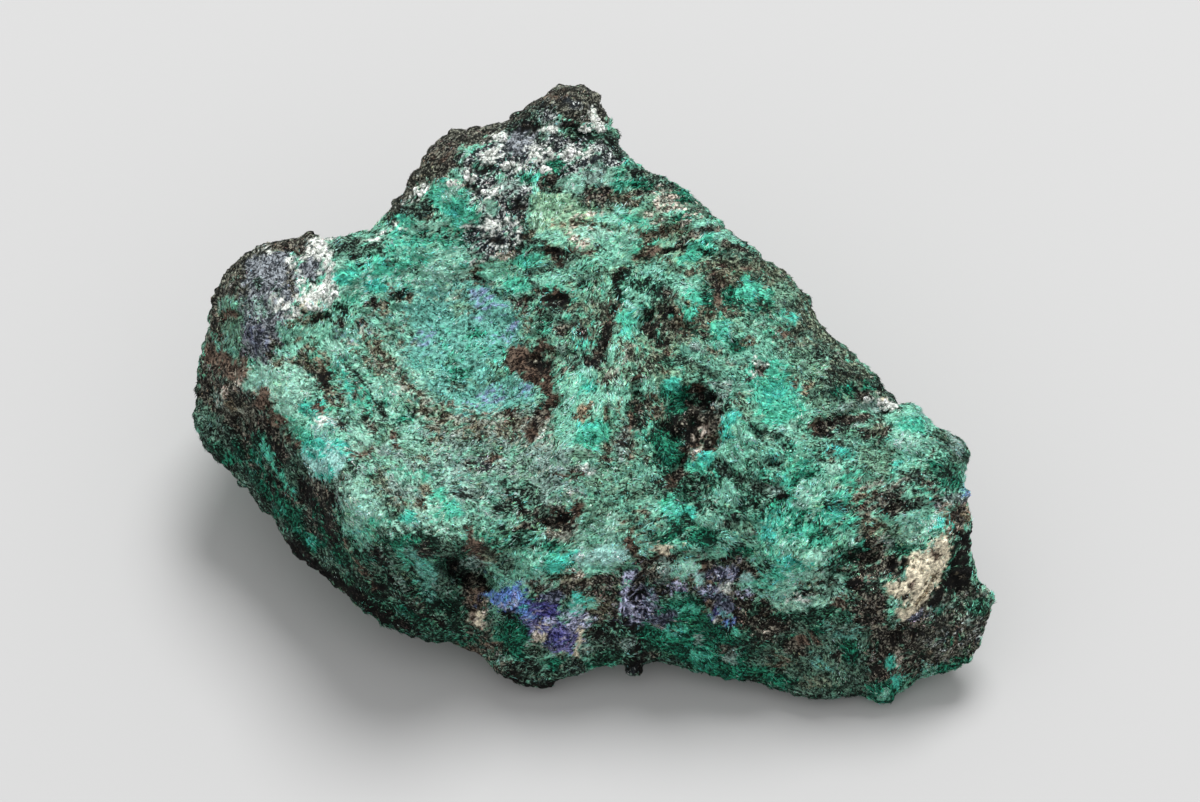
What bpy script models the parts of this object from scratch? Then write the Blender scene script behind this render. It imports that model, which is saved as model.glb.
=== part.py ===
"""Tenorite specimen: a hand-sized lump of copper ore, broken from the vein as one natural piece.

The lump rests on its rough underside. Its broad broken face leans forward over a steep front wall.
Its outline and relief are set out on a drawing plane that is square to one line of sight, SIGHT_SLOPE
above the table. Each landmark there has its place across the plane (u to the right, v up) and its
height z above the table. All sizes are in millimetres until the mesh is made.
"""

import math

import bmesh
import bpy
import numpy as np
from mathutils import Euler, Matrix, Vector, noise
from mathutils.geometry import delaunay_2d_cdt

MM = 0.001

# The line of sight that the drawing plane is square to, and how far away its eye point is.
SIGHT_SLOPE = math.radians(55.0)
EYE_DISTANCE = 700.0
PLANE_STANDOFF = 20.0

# Where the drawing's zero ends up, measured from the middle of the footprint.
DATUM = Vector((0.9, 8.4, 0.0))

# The outline (u, v, z), clockwise from the knob on the peak.
RIM = [
    (-4.9, 31.3, 29.5), (-4.0, 31.7, 30.0), (-2.9, 31.8, 30.0), (-1.8, 31.6, 30.0), (-0.9, 31.1, 30.0),
    (-0.2, 30.5, 30.0), (0.1, 29.5, 29.8), (0.7, 28.9, 29.5), (1.1, 28.1, 29.4), (1.0, 27.4, 29.3),
    (1.6, 26.5, 29.2), (2.0, 25.2, 29.0), (3.2, 24.1, 28.6), (5.0, 22.8, 28.0), (6.5, 22.1, 27.6),
    (7.6, 21.5, 27.3), (8.8, 21.1, 27.1), (9.3, 20.1, 27.0), (10.8, 19.0, 26.6), (12.3, 17.8, 26.2),
    (13.8, 16.3, 25.6), (15.2, 15.4, 25.0), (16.4, 13.9, 24.5), (17.3, 13.8, 24.2), (18.6, 12.8, 23.7),
    (19.7, 11.3, 23.2), (21.0, 9.8, 22.7), (21.2, 8.9, 22.4), (22.5, 6.9, 22.0), (23.5, 6.0, 21.6),
    (24.8, 5.1, 21.2), (26.1, 3.7, 20.8), (27.5, 2.1, 20.5), (29.0, 0.6, 20.2), (29.9, -0.4, 19.8),
    (31.0, -0.2, 19.8), (32.1, -0.5, 19.8), (33.2, -2.0, 19.5), (34.4, -2.8, 19.0), (36.1, -3.7, 18.4),
    (36.8, -4.6, 17.8), (37.0, -5.8, 17.2), (36.5, -7.0, 16.6), (36.6, -8.8, 16.0), (36.8, -10.6, 15.0),
    (37.3, -12.3, 14.0), (36.9, -13.9, 13.0), (37.3, -16.2, 11.8), (38.1, -18.1, 10.2), (39.3, -19.1, 9.0),
    (39.2, -20.6, 8.0), (38.6, -22.6, 6.6), (38.3, -24.4, 5.6), (37.2, -25.7, 4.6), (35.4, -26.8, 3.4),
    (33.2, -27.4, 2.4), (31.6, -28.0, 1.8), (30.4, -28.9, 1.3), (29.0, -29.7, 1.0), (28.2, -30.2, 1.0),
    (26.9, -29.8, 1.2), (25.9, -29.3, 1.4), (24.2, -29.6, 1.3), (22.2, -29.8, 1.3), (20.0, -29.4, 1.4),
    (18.0, -29.0, 1.6), (16.4, -28.3, 2.0), (14.6, -28.1, 2.2), (12.6, -28.0, 2.2), (10.8, -27.3, 2.4),
    (9.0, -27.1, 2.6), (7.5, -26.4, 2.8), (5.5, -26.2, 3.0), (4.6, -26.4, 2.8), (3.8, -27.2, 2.4),
    (3.0, -27.2, 2.4), (2.5, -26.3, 2.8), (1.4, -26.0, 3.0), (-0.3, -26.5, 2.6), (-1.5, -27.2, 2.0),
    (-2.3, -28.0, 1.6), (-3.3, -27.8, 1.6), (-4.2, -28.1, 1.4), (-5.0, -28.7, 1.2), (-6.6, -28.7, 1.2),
    (-8.4, -28.0, 1.8), (-9.8, -27.7, 2.2), (-11.0, -26.2, 3.0), (-12.4, -25.2, 3.6), (-14.4, -24.1, 4.4),
    (-16.8, -24.3, 4.8), (-18.8, -23.8, 5.4), (-20.2, -22.9, 5.8), (-21.9, -22.3, 6.2), (-22.8, -21.6, 6.4),
    (-24.2, -20.8, 6.8), (-25.3, -19.4, 7.2), (-27.2, -17.9, 7.6), (-29.0, -16.7, 8.0), (-30.6, -15.2, 8.4),
    (-32.0, -13.5, 8.8), (-32.8, -11.7, 9.2), (-34.2, -10.3, 9.8), (-35.2, -8.8, 10.3), (-36.5, -7.5, 10.8),
    (-38.0, -6.1, 11.4), (-39.6, -4.8, 12.0), (-40.2, -2.9, 12.6), (-40.7, -1.9, 13.0), (-40.2, -0.3, 13.4),
    (-40.4, 1.8, 14.2), (-40.0, 4.2, 15.6), (-39.3, 6.2, 17.0), (-38.9, 8.6, 19.0), (-38.4, 11.0, 21.4),
    (-37.6, 12.7, 22.8), (-36.2, 14.3, 24.0), (-34.4, 15.5, 25.0), (-32.2, 16.1, 25.5), (-30.3, 16.3, 25.8),
    (-29.0, 17.0, 26.2), (-27.6, 16.2, 26.0), (-26.0, 16.3, 25.8), (-24.6, 16.7, 25.6), (-22.9, 17.2, 25.6),
    (-21.6, 18.2, 26.0), (-20.5, 19.7, 26.6), (-19.2, 21.3, 27.2), (-18.1, 22.8, 27.5), (-17.4, 24.9, 28.0),
    (-16.4, 25.9, 28.2), (-15.0, 27.1, 28.5), (-13.2, 27.3, 28.8), (-11.2, 27.6, 29.0), (-9.5, 28.0, 29.2),
    (-8.2, 28.8, 29.3), (-7.3, 29.8, 29.4), (-6.2, 30.2, 29.5),
]

# The brink between the broken face and the front wall, from the left lobe to the front ledge.
BRINK = [
    (-36.6, 3.0, 18.5), (-35.2, 1.0, 20.2), (-33.2, -0.8, 20.8), (-31.0, -2.4, 21.2), (-28.6, -4.8, 21.2),
    (-26.0, -7.8, 21.0), (-24.0, -10.6, 20.5), (-21.5, -12.8, 19.5), (-18.0, -14.0, 18.6),
    (-14.5, -14.6, 17.6), (-12.0, -14.8, 16.8),
]

# Landmarks of the broken face and the front wall (u, v, z).
FACE = [
    # Left lobe, and the shelf inside it.
    (-35.0, 10.5, 24.6), (-31.5, 13.0, 26.2), (-30.5, 9.0, 25.2), (-33.5, 5.5, 22.6), (-29.0, 4.0, 22.6),
    (-25.5, 13.2, 25.0), (-26.0, 9.0, 23.2), (-25.5, 1.0, 21.4), (-23.0, -3.0, 20.8),
    # Peak lobe and its knob.
    (-3.0, 28.6, 31.6), (-2.2, 25.2, 29.6), (-8.0, 26.0, 30.4), (-13.5, 24.5, 29.8), (-15.0, 20.5, 28.4),
    (-9.5, 21.5, 28.6), (-4.0, 21.0, 28.0), (2.0, 21.8, 28.2), (-16.5, 16.5, 25.6), (-9.0, 15.5, 25.2),
    (-3.0, 16.5, 26.0), (3.5, 17.5, 26.6), (7.5, 18.5, 26.8),
    # The shallow basin and its rim.
    (-18.0, 11.5, 23.0), (-12.0, 10.5, 22.2), (-15.0, 5.0, 20.2), (-11.0, 1.0, 19.2), (-18.5, 0.0, 19.8),
    (-8.0, 6.0, 21.2), (-5.0, -2.0, 20.6), (-12.0, -5.0, 19.0), (-18.0, -8.0, 19.2), (-7.0, -9.0, 18.8),
    (-22.5, 5.0, 21.0), (-5.0, 11.0, 24.0),
    # The middle ridge and the right half.
    (0.5, 9.0, 24.8), (2.5, 3.0, 24.2), (0.0, -3.0, 22.2), (2.5, -8.0, 20.6), (8.0, 13.5, 26.2),
    (13.0, 12.5, 25.6), (6.5, 6.5, 23.2), (9.5, -1.2, 20.4), (12.5, 4.5, 23.8), (17.0, 7.5, 23.8),
    (19.0, 2.0, 22.6), (14.5, -3.5, 22.2), (24.0, 1.0, 21.6), (20.5, -4.5, 21.2), (27.0, -2.6, 19.6),
    (31.5, -4.2, 20.0), (34.5, -6.0, 18.4), (26.0, -8.0, 19.4), (15.0, -10.5, 19.4), (8.5, -9.5, 18.8),
    (21.0, -12.5, 17.6), (31.0, -11.5, 17.2), (28.0, -14.5, 15.2), (34.0, -14.0, 14.6),
    # The front slope, with its hollow and its blocks.
    (-10.5, -11.8, 17.6), (-5.0, -12.8, 17.2), (1.0, -13.5, 17.0), (-13.2, -17.6, 10.2), (-9.0, -17.0, 13.6),
    (-11.5, -20.0, 9.6), (-8.0, -20.5, 11.2), (-4.5, -19.0, 13.4), (-5.5, -24.0, 7.4), (-1.5, -21.5, 10.4),
    (2.5, -18.5, 12.4), (3.0, -23.5, 6.4), (6.0, -16.5, 15.0), (8.5, -21.0, 10.6), (11.5, -16.8, 14.4),
    (13.5, -22.5, 8.8), (17.5, -18.5, 12.6), (20.0, -24.0, 7.0), (22.5, -18.0, 13.2), (25.5, -22.0, 9.4),
    (29.0, -19.5, 12.4), (31.5, -23.0, 8.4), (35.0, -19.5, 10.4), (27.0, -27.0, 4.0),
    # The steep front wall.
    (-38.5, -0.5, 15.0), (-36.0, -2.6, 15.4), (-33.6, -5.2, 15.4), (-31.0, -8.2, 15.2), (-28.4, -11.4, 14.8),
    (-25.0, -14.6, 14.2), (-21.5, -17.0, 12.6), (-17.5, -18.4, 11.4), (-36.6, -5.2, 12.8),
    (-30.6, -12.4, 10.8), (-25.6, -17.0, 9.8), (-19.5, -21.2, 8.0), (-14.8, -21.6, 7.4),
]

# Landmarks of the hidden side (u, v, z): its back wall, then its underside.
HIDDEN = [
    (-36.0, 9.0, 15.0), (-30.0, 12.0, 15.0), (-24.0, 12.6, 15.0), (-19.0, 16.0, 15.0), (-13.0, 21.2, 15.0),
    (-7.0, 23.4, 15.0), (-2.6, 29.4, 26.0), (-2.4, 27.2, 21.4), (-2.0, 23.8, 14.0), (4.0, 18.4, 14.0),
    (11.0, 14.2, 14.0), (19.0, 8.4, 13.0), (26.0, 1.0, 12.0), (32.0, -4.6, 11.0), (36.0, -9.6, 9.6),
    (-31.0, 3.6, 6.0), (-22.0, 6.6, 4.4), (-12.0, 12.0, 5.0), (-4.0, 15.6, 4.6), (4.0, 10.6, 4.0),
    (12.0, 5.8, 5.2), (19.0, 0.6, 3.6), (26.0, -6.6, 5.0), (32.0, -12.0, 4.8),
    (-37.6, 2.0, 10.0), (-35.0, -3.0, 8.0), (-31.0, -7.6, 6.2), (-28.0, -12.8, 5.8), (-28.0, -2.0, 4.0),
    (-22.0, -9.0, 2.6), (-22.0, -17.0, 5.0), (-15.0, -18.0, 3.6), (-14.0, -3.0, 3.4), (-10.0, 5.0, 2.4),
    (-4.0, -10.0, 4.4), (-3.0, 4.0, 4.2), (-6.0, -23.0, 1.0), (4.0, -20.0, 3.6), (8.0, -3.0, 3.0),
    (12.0, -14.0, 4.2), (16.0, -24.0, 2.4), (24.0, -17.0, 3.2), (28.0, -26.0, 1.8), (34.0, -20.0, 4.6),
]

# The rim is rounded: each side swells away from the drawing plane over this distance.
RIM_ROUND = 3.4
FACE_SWELL = 1.3
HIDDEN_SWELL = 3.0

# The roughness: (wavelength, height) of each size of lump, and how it fades out towards the rim.
FACE_LUMPS = [(9.0, 1.0), (4.4, 0.9), (2.6, 0.55)]
HIDDEN_LUMPS = [(13.0, 1.5), (6.0, 1.1), (3.4, 0.7)]
FADE = 2.0
STEEPEST_RISE = 0.45
SEED = Vector((13.0, 5.0, 2.0))

# The blunt blocks that the hidden side broke into: how wide they are, which way they lie, and how deep.
BLOCK_WIDTH = 10.0
BLOCK_TURN = Euler((0.5, 0.35, 0.6)).to_matrix()
BLOCK_DEPTH = 3.6
BLOCK_MEAN = 0.42
SMOOTHING_PASSES = 8

# The mesh: the step between points, and how far in the rows behind the rim lie.
STEP = 1.3
RIM_ROWS = (0.45, 1.15)
NEAREST = 0.55
ON_RIM = 1e-4

ROCK_COLOUR = (0.07, 0.22, 0.16, 1.0)
ROCK_ROUGHNESS = 0.9


def clear_scene():
    for thing in list(bpy.data.objects):
        bpy.data.objects.remove(thing, do_unlink=True)


def place(u, v, z):
    """The point at height z that stands at (u, v) on the drawing plane, seen from the eye point."""
    sin, cos = math.sin(SIGHT_SLOPE), math.cos(SIGHT_SLOPE)
    towards_eye = np.array([0.0, -cos, sin])
    eye = towards_eye * (PLANE_STANDOFF + EYE_DISTANCE)
    on_plane = towards_eye * PLANE_STANDOFF + np.array([u, v * sin, v * cos])
    along = (eye[2] - z) / (eye[2] - on_plane[2])
    return eye + along * (on_plane - eye)


def smooth_through(landmarks):
    """A function of (u, v) that passes smoothly through the landmarks' heights: a thin-plate spline."""
    marks = np.array(landmarks)
    plan, heights = marks[:, :2], marks[:, 2]

    def stiffness(distance):
        return distance**2 * np.log(np.maximum(distance, 1e-9))

    count = len(plan)
    gaps = np.linalg.norm(plan[:, None] - plan[None], axis=2)
    flat = np.column_stack([np.ones(count), plan])
    system = np.zeros((count + 3, count + 3))
    system[:count, :count] = stiffness(gaps)
    system[:count, count:] = flat
    system[count:, :count] = flat.T
    weights = np.linalg.solve(system, np.append(heights, [0.0, 0.0, 0.0]))

    def height(points):
        gaps_to = np.linalg.norm(points[:, None] - plan[None], axis=2)
        level = weights[count] + points @ weights[count + 1:]
        return stiffness(gaps_to) @ weights[:count] + level

    return height


def rim_points():
    """The outline with one more point in the middle of each long side."""
    points = []
    for here, after in zip(RIM, RIM[1:] + RIM[:1]):
        here, after = np.array(here), np.array(after)
        points.append(here)
        if np.linalg.norm(after[:2] - here[:2]) > STEP:
            points.append((here + after) / 2.0)
    return np.array(points)


def distance_to_rim(points, rim):
    """How far each point lies from the outline, on the drawing plane."""
    starts, ends = rim, np.roll(rim, -1, axis=0)
    sides = ends - starts
    to_points = points[:, None] - starts[None]
    along = (to_points * sides).sum(axis=2) / (sides**2).sum(axis=1)
    nearest = starts + np.clip(along, 0.0, 1.0)[..., None] * sides
    return np.linalg.norm(points[:, None] - nearest, axis=2).min(axis=1)


def inside(points, rim):
    """Which points lie inside the outline."""
    starts, ends = rim, np.roll(rim, -1, axis=0)
    u, v = points[:, 0, None], points[:, 1, None]
    crosses = (starts[:, 1] > v) != (ends[:, 1] > v)
    rise = np.where(ends[:, 1] == starts[:, 1], 1e-9, ends[:, 1] - starts[:, 1])
    cut = starts[:, 0] + (v - starts[:, 1]) * (ends[:, 0] - starts[:, 0]) / rise
    return (crosses & (u < cut)).sum(axis=1) % 2 == 1


def inner_points(rim):
    """The points inside the outline: rows that follow the rim, the brink, then an even field."""
    turn = np.roll(rim, -1, axis=0) - np.roll(rim, 1, axis=0)
    inward = np.column_stack([turn[:, 1], -turn[:, 0]]) / np.linalg.norm(turn, axis=1)[:, None]
    kept = []
    for row in RIM_ROWS:
        rows = rim + inward * row
        clear = (distance_to_rim(rows, rim) > 0.75 * row) & inside(rows, rim)
        kept.extend(rows[clear])
    kept.extend(np.array(point[:2]) for point in BRINK)
    low, high = rim.min(axis=0), rim.max(axis=0)
    field = []
    for line, v in enumerate(np.arange(low[1], high[1], STEP * math.sqrt(0.75))):
        for u in np.arange(low[0] + STEP / 2.0 * (line % 2), high[0], STEP):
            shake = noise.noise_vector(Vector((u, v, 3.0)) * 1.7)
            field.append((u + shake[0] * STEP * 0.35, v + shake[1] * STEP * 0.35))
    field = np.array(field)
    clear = inside(field, rim) & (distance_to_rim(field, rim) > RIM_ROWS[-1] + NEAREST)
    kept.extend(field[clear])
    chosen = []
    for point in kept:
        if not chosen or np.linalg.norm(np.array(chosen) - point, axis=1).min() > NEAREST:
            chosen.append(point)
    return np.array(chosen)


def lumps(point, sizes):
    """The height of the rough lumps at a point of the rock."""
    place_in_noise = Vector(point)
    return sum(size * noise.noise(place_in_noise / wide + SEED * wide) for wide, size in sizes)


def blocks(point):
    """The height of the flat-sided blocks at a point of the rock."""
    here = BLOCK_TURN @ Vector(point) / BLOCK_WIDTH + SEED
    nearest = noise.voronoi(here, distance_metric="CHEBYCHEV")[0][0]
    return (BLOCK_MEAN - nearest) * BLOCK_DEPTH


def rounding(distance):
    """How far the rim's rounding has risen, from 0 at the rim to 1 where it ends."""
    left = np.clip(1.0 - distance / RIM_ROUND, 0.0, 1.0)
    return np.sqrt(1.0 - left**2)


def moved_along_sight(point, distance):
    """The point moved towards the eye by the distance, so it keeps its place on the drawing plane."""
    sin, cos = math.sin(SIGHT_SLOPE), math.cos(SIGHT_SLOPE)
    eye = np.array([0.0, -cos, sin]) * (PLANE_STANDOFF + EYE_DISTANCE)
    sight = eye - point
    return point + sight / np.linalg.norm(sight) * distance


def face_points(plan, far):
    """The broken face and front wall, where sight first meets the rock."""
    height = smooth_through(RIM + BRINK + FACE)(plan)
    rise = FACE_SWELL * rounding(far)
    return [moved_along_sight(place(u, v, z), swell) for (u, v), z, swell in zip(plan, height, rise)]


def hidden_points(plan, far):
    """The back wall and the underside."""
    height = smooth_through(RIM + HIDDEN)(plan)
    fall = HIDDEN_SWELL * rounding(far)
    return [moved_along_sight(place(u, v, z), -swell) for (u, v), z, swell in zip(plan, height, fall)]


def smooth(mesh, indices):
    """Rounds off the hidden side, whose walls would otherwise repeat every notch of the rim."""
    skin = bmesh.new()
    skin.from_mesh(mesh)
    skin.verts.ensure_lookup_table()
    verts = [skin.verts[index] for index in indices]
    for _ in range(SMOOTHING_PASSES):
        bmesh.ops.smooth_vert(skin, verts=verts, factor=0.5, use_axis_x=True, use_axis_y=True, use_axis_z=True)
    skin.to_mesh(mesh)
    skin.free()


def roughen(mesh, far, height_at):
    """Moves points square to the skin, {index: distance from the rim}, and never below the table."""
    moved = {}
    for index, distance in far.items():
        vertex = mesh.vertices[index]
        height = min(height_at(vertex.co / MM), distance * STEEPEST_RISE)
        point = vertex.co + vertex.normal * height * min(distance / FADE, 1.0) * MM
        point.z = max(point.z, 0.0)
        moved[index] = point
    for index, point in moved.items():
        mesh.vertices[index].co = point


def rock_mesh():
    """One closed skin: the face sheet and the hidden sheet share the rim's points."""
    rim = rim_points()
    inner = inner_points(rim[:, :2])
    plan = [Vector(point) for point in np.vstack([rim[:, :2], inner])]
    rim_sides = [(i, (i + 1) % len(rim)) for i in range(len(rim))]
    brink_first = [plan.index(Vector(point[:2])) for point in BRINK if Vector(point[:2]) in plan]
    brink_sides = list(zip(brink_first, brink_first[1:]))
    plan, _, triangles, *_ = delaunay_2d_cdt(plan, rim_sides + brink_sides, [], 1, 1e-6)
    plan = np.array([tuple(point) for point in plan])
    far = distance_to_rim(plan, rim[:, :2])
    front = face_points(plan, far)
    back = hidden_points(plan, far)
    points = list(front)
    behind = []
    face_far, hidden_far = {}, {}
    for index, distance in enumerate(far):
        if distance < ON_RIM:
            behind.append(index)
            continue
        behind.append(len(points))
        face_far[index] = distance
        hidden_far[len(points)] = distance
        points.append(back[index])
    faces = [tuple(triangle) for triangle in triangles]
    faces += [tuple(behind[index] for index in reversed(triangle)) for triangle in triangles]
    mesh = bpy.data.meshes.new("specimen_rock")
    mesh.from_pydata([tuple(point * MM) for point in points], [], faces)
    smooth(mesh, hidden_far)
    roughen(mesh, face_far, lambda point: lumps(point, FACE_LUMPS))
    roughen(mesh, hidden_far, lambda point: lumps(point, HIDDEN_LUMPS) + blocks(point))
    mesh.validate()
    mesh.transform(Matrix.Translation(DATUM * MM))
    return mesh


def rock_material():
    material = bpy.data.materials.new("green_copper_ore")
    material.use_nodes = True
    shader = material.node_tree.nodes["Principled BSDF"]
    shader.inputs["Base Color"].default_value = ROCK_COLOUR
    shader.inputs["Roughness"].default_value = ROCK_ROUGHNESS
    return material


def main():
    clear_scene()
    mesh = rock_mesh()
    mesh.materials.append(rock_material())
    rock = bpy.data.objects.new("specimen_rock", mesh)
    bpy.context.scene.collection.objects.link(rock)


main()
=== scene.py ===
import itertools
import math

import bpy
import numpy as np
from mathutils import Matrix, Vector
from mathutils.bvhtree import BVHTree


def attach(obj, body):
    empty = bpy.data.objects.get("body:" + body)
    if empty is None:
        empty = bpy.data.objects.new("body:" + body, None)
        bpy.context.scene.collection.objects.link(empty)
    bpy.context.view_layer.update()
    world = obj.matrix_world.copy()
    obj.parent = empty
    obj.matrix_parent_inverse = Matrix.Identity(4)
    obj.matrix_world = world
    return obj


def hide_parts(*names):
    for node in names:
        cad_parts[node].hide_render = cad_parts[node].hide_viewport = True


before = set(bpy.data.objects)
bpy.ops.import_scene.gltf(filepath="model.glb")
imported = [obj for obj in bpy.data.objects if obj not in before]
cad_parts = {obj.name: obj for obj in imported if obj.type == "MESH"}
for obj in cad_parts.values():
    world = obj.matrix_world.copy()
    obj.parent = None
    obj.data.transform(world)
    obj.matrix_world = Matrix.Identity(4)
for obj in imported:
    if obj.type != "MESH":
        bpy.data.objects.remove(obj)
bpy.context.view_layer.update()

# Sizes are in millimetres until they go into a mesh or an object.
MM = 0.001
SEED = 41

# --- The line of sight
# Places on the face are given as (u, v) on a plane that is square to it: u to the right and v up, as
# the solid body's own landmarks are.
SIGHT_SLOPE = math.radians(55.0)
EYE_DISTANCE = 700.0
PLANE_STANDOFF = 20.0
DATUM = np.array([0.9, 8.4, 0.0])
ACROSS = np.array([1.0, 0.0, 0.0])
TOWARDS_EYE = np.array([0.0, -math.cos(SIGHT_SLOPE), math.sin(SIGHT_SLOPE)])
PLANE_UP = np.array([0.0, math.sin(SIGHT_SLOPE), math.cos(SIGHT_SLOPE)])
EYE = DATUM + TOWARDS_EYE * (PLANE_STANDOFF + EYE_DISTANCE)
SENSOR = 36.0
FRAME_WIDTH = 120.0
# In metres.
SIGHT_RANGE = (0.01, 20.0)


def on_plane(points):
    """(u, v) of points, as the eye sees them."""
    rel = points - EYE
    away = -(rel @ TOWARDS_EYE)
    return rel[:, 0] / away * EYE_DISTANCE, (rel @ PLANE_UP) / away * EYE_DISTANCE


# --- Tones
# (Light grains, dark grains, how much of the ground the light grains cover, kind of grain, how long
# its grains are from 0 for grit to 1 for needles). Colours are red, green and blue from 0 to 255, as
# they look in plain light.
GREEN, BLACK, PALE, BLUE = range(4)

TONES = {
    "felt": ((146, 224, 194), (40, 76, 58), 0.62, GREEN, 0.9),
    "mint": ((162, 244, 214), (56, 120, 96), 0.70, GREEN, 0.9),
    "pale_mint": ((186, 252, 226), (98, 164, 140), 0.75, GREEN, 0.6),
    "bright": ((108, 236, 200), (26, 106, 82), 0.69, GREEN, 0.9),
    "deep": ((86, 158, 130), (15, 37, 28), 0.42, GREEN, 0.9),
    "emerald": ((56, 166, 132), (12, 56, 43), 0.48, GREEN, 0.9),
    "teal": ((134, 216, 198), (60, 124, 110), 0.68, GREEN, 0.5),
    "haze": ((138, 162, 196), (92, 124, 142), 0.62, BLUE, 0.3),
    "turquoise": ((98, 238, 212), (24, 140, 114), 0.72, GREEN, 0.7),
    "pale_turquoise": ((190, 252, 242), (116, 194, 182), 0.84, GREEN, 0.4),
    "sage": ((144, 198, 168), (46, 64, 48), 0.58, GREEN, 0.7),
    "moss": ((121, 164, 142), (35, 52, 43), 0.52, GREEN, 0.6),
    "silver_mint": ((174, 210, 198), (76, 102, 92), 0.60, GREEN, 0.8),
    "olive": ((130, 144, 122), (44, 52, 42), 0.50, BLACK, 0.5),
    "taupe": ((134, 134, 114), (46, 40, 30), 0.48, BLACK, 0.4),
    "umber": ((114, 98, 85), (50, 40, 33), 0.54, BLACK, 0.05),
    "liver": ((94, 78, 66), (35, 26, 20), 0.48, BLACK, 0.05),
    "black_brown": ((132, 129, 116), (23, 20, 17), 0.41, BLACK, 0.3),
    "black_green": ((104, 138, 122), (12, 21, 16), 0.43, BLACK, 0.6),
    "pitch": ((74, 70, 62), (8, 8, 7), 0.27, BLACK, 0.06),
    "rim_grit": ((126, 128, 115), (30, 32, 27), 0.43, BLACK, 0.2),
    "slate": ((144, 151, 157), (56, 62, 68), 0.52, BLACK, 0.0),
    "salt": ((198, 206, 204), (38, 44, 48), 0.40, PALE, 0.1),
    "white": ((230, 235, 228), (140, 160, 151), 0.66, PALE, 0.1),
    "blush": ((226, 214, 200), (132, 122, 106), 0.55, PALE, 0.2),
    "cream": ((228, 218, 192), (152, 142, 118), 0.78, PALE, 0.0),
    "spring": ((180, 234, 196), (96, 144, 110), 0.72, GREEN, 0.6),
    "dust": ((164, 172, 158), (88, 88, 77), 0.58, PALE, 0.5),
    "tan": ((172, 160, 134), (84, 74, 58), 0.50, PALE, 0.2),
    "azure": ((116, 154, 226), (50, 74, 136), 0.64, BLUE, 0.4),
    "indigo": ((94, 94, 166), (38, 38, 84), 0.53, BLUE, 0.3),
    "violet": ((132, 132, 188), (54, 54, 96), 0.57, BLUE, 0.4),
    "lilac": ((198, 202, 232), (70, 72, 98), 0.58, BLUE, 0.3),
    "blue_slate": ((124, 131, 152), (42, 46, 60), 0.48, BLUE, 0.3),
}


# --- Marks on the face
# Each is (tone, share, its reach, a function that gives how far outside its outline a place is,
# softness of its edge). They go on in order. The share is how much of the ground inside the outline
# turns to the tone: all of it from about 1.15 up.

# How much of its share each kind of ground takes.
HOLD = {GREEN: 1.0, BLACK: 0.86, PALE: 0.78, BLUE: 0.9}
# How far the wobble of its edge can carry a mark.
WOBBLE_ROOM = 1.0
VEIL_EDGE = 0.8


def held(tone, share):
    return share * HOLD[TONES[tone][3]]


def from_oval(u, v, middle_u, middle_v, half_u, half_v, turn):
    """How far each place is from the middle of a turned oval: 1 on its outline."""
    cos, sin = math.cos(math.radians(turn)), math.sin(math.radians(turn))
    du, dv = u - middle_u, v - middle_v
    return np.hypot((du * cos + dv * sin) / half_u, (dv * cos - du * sin) / half_v)


def spot(tone, u, v, half_u, half_v=None, turn=0.0, share=1.0, soft=0.3):
    """An oval mark."""
    half_v = half_v or half_u

    def outside(wu, wv):
        return (from_oval(wu, wv, u, v, half_u, half_v, turn) - 1.0) * min(half_u, half_v)

    reach = max(half_u, half_v) + WOBBLE_ROOM
    return tone, held(tone, share), (u - reach, u + reach, v - reach, v + reach), outside, soft


def veil(tone, u, v, half_u, half_v, turn, share):
    """A thin oval wash without a clear edge."""
    return spot(tone, u, v, half_u, half_v, turn, share, VEIL_EDGE)


def from_line(wu, wv, line):
    """How far each place is from a broken line."""
    nearest = np.full(len(wu), np.inf)
    for (u0, v0), (u1, v1) in zip(line, line[1:]):
        du, dv = u1 - u0, v1 - v0
        along = np.clip(((wu - u0) * du + (wv - v0) * dv) / (du * du + dv * dv), 0.0, 1.0)
        nearest = np.minimum(nearest, np.hypot(wu - u0 - along * du, wv - v0 - along * dv))
    return nearest


def box_of(points, margin):
    us, vs = zip(*points)
    return min(us) - margin, max(us) + margin, min(vs) - margin, max(vs) + margin


def streak(tone, width, *line, share=1.0, soft=0.2):
    """A mark of even width along a broken line."""

    def outside(wu, wv):
        return from_line(wu, wv, line) - width * 0.5

    return tone, held(tone, share), box_of(line, width + WOBBLE_ROOM), outside, soft


def field(tone, *outline, share=1.0, soft=0.4):
    """A mark with a given outline."""
    closed = list(outline) + [outline[0]]

    def outside(wu, wv):
        within = np.zeros(len(wu), bool)
        for (u0, v0), (u1, v1) in zip(closed, closed[1:]):
            if v0 != v1:
                cross = u0 + (wv - v0) * (u1 - u0) / (v1 - v0)
                within ^= ((v0 > wv) != (v1 > wv)) & (wu < cross)
        return from_line(wu, wv, closed) * np.where(within, -1.0, 1.0)

    return tone, held(tone, share), box_of(outline, soft + WOBBLE_ROOM), outside, soft


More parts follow.
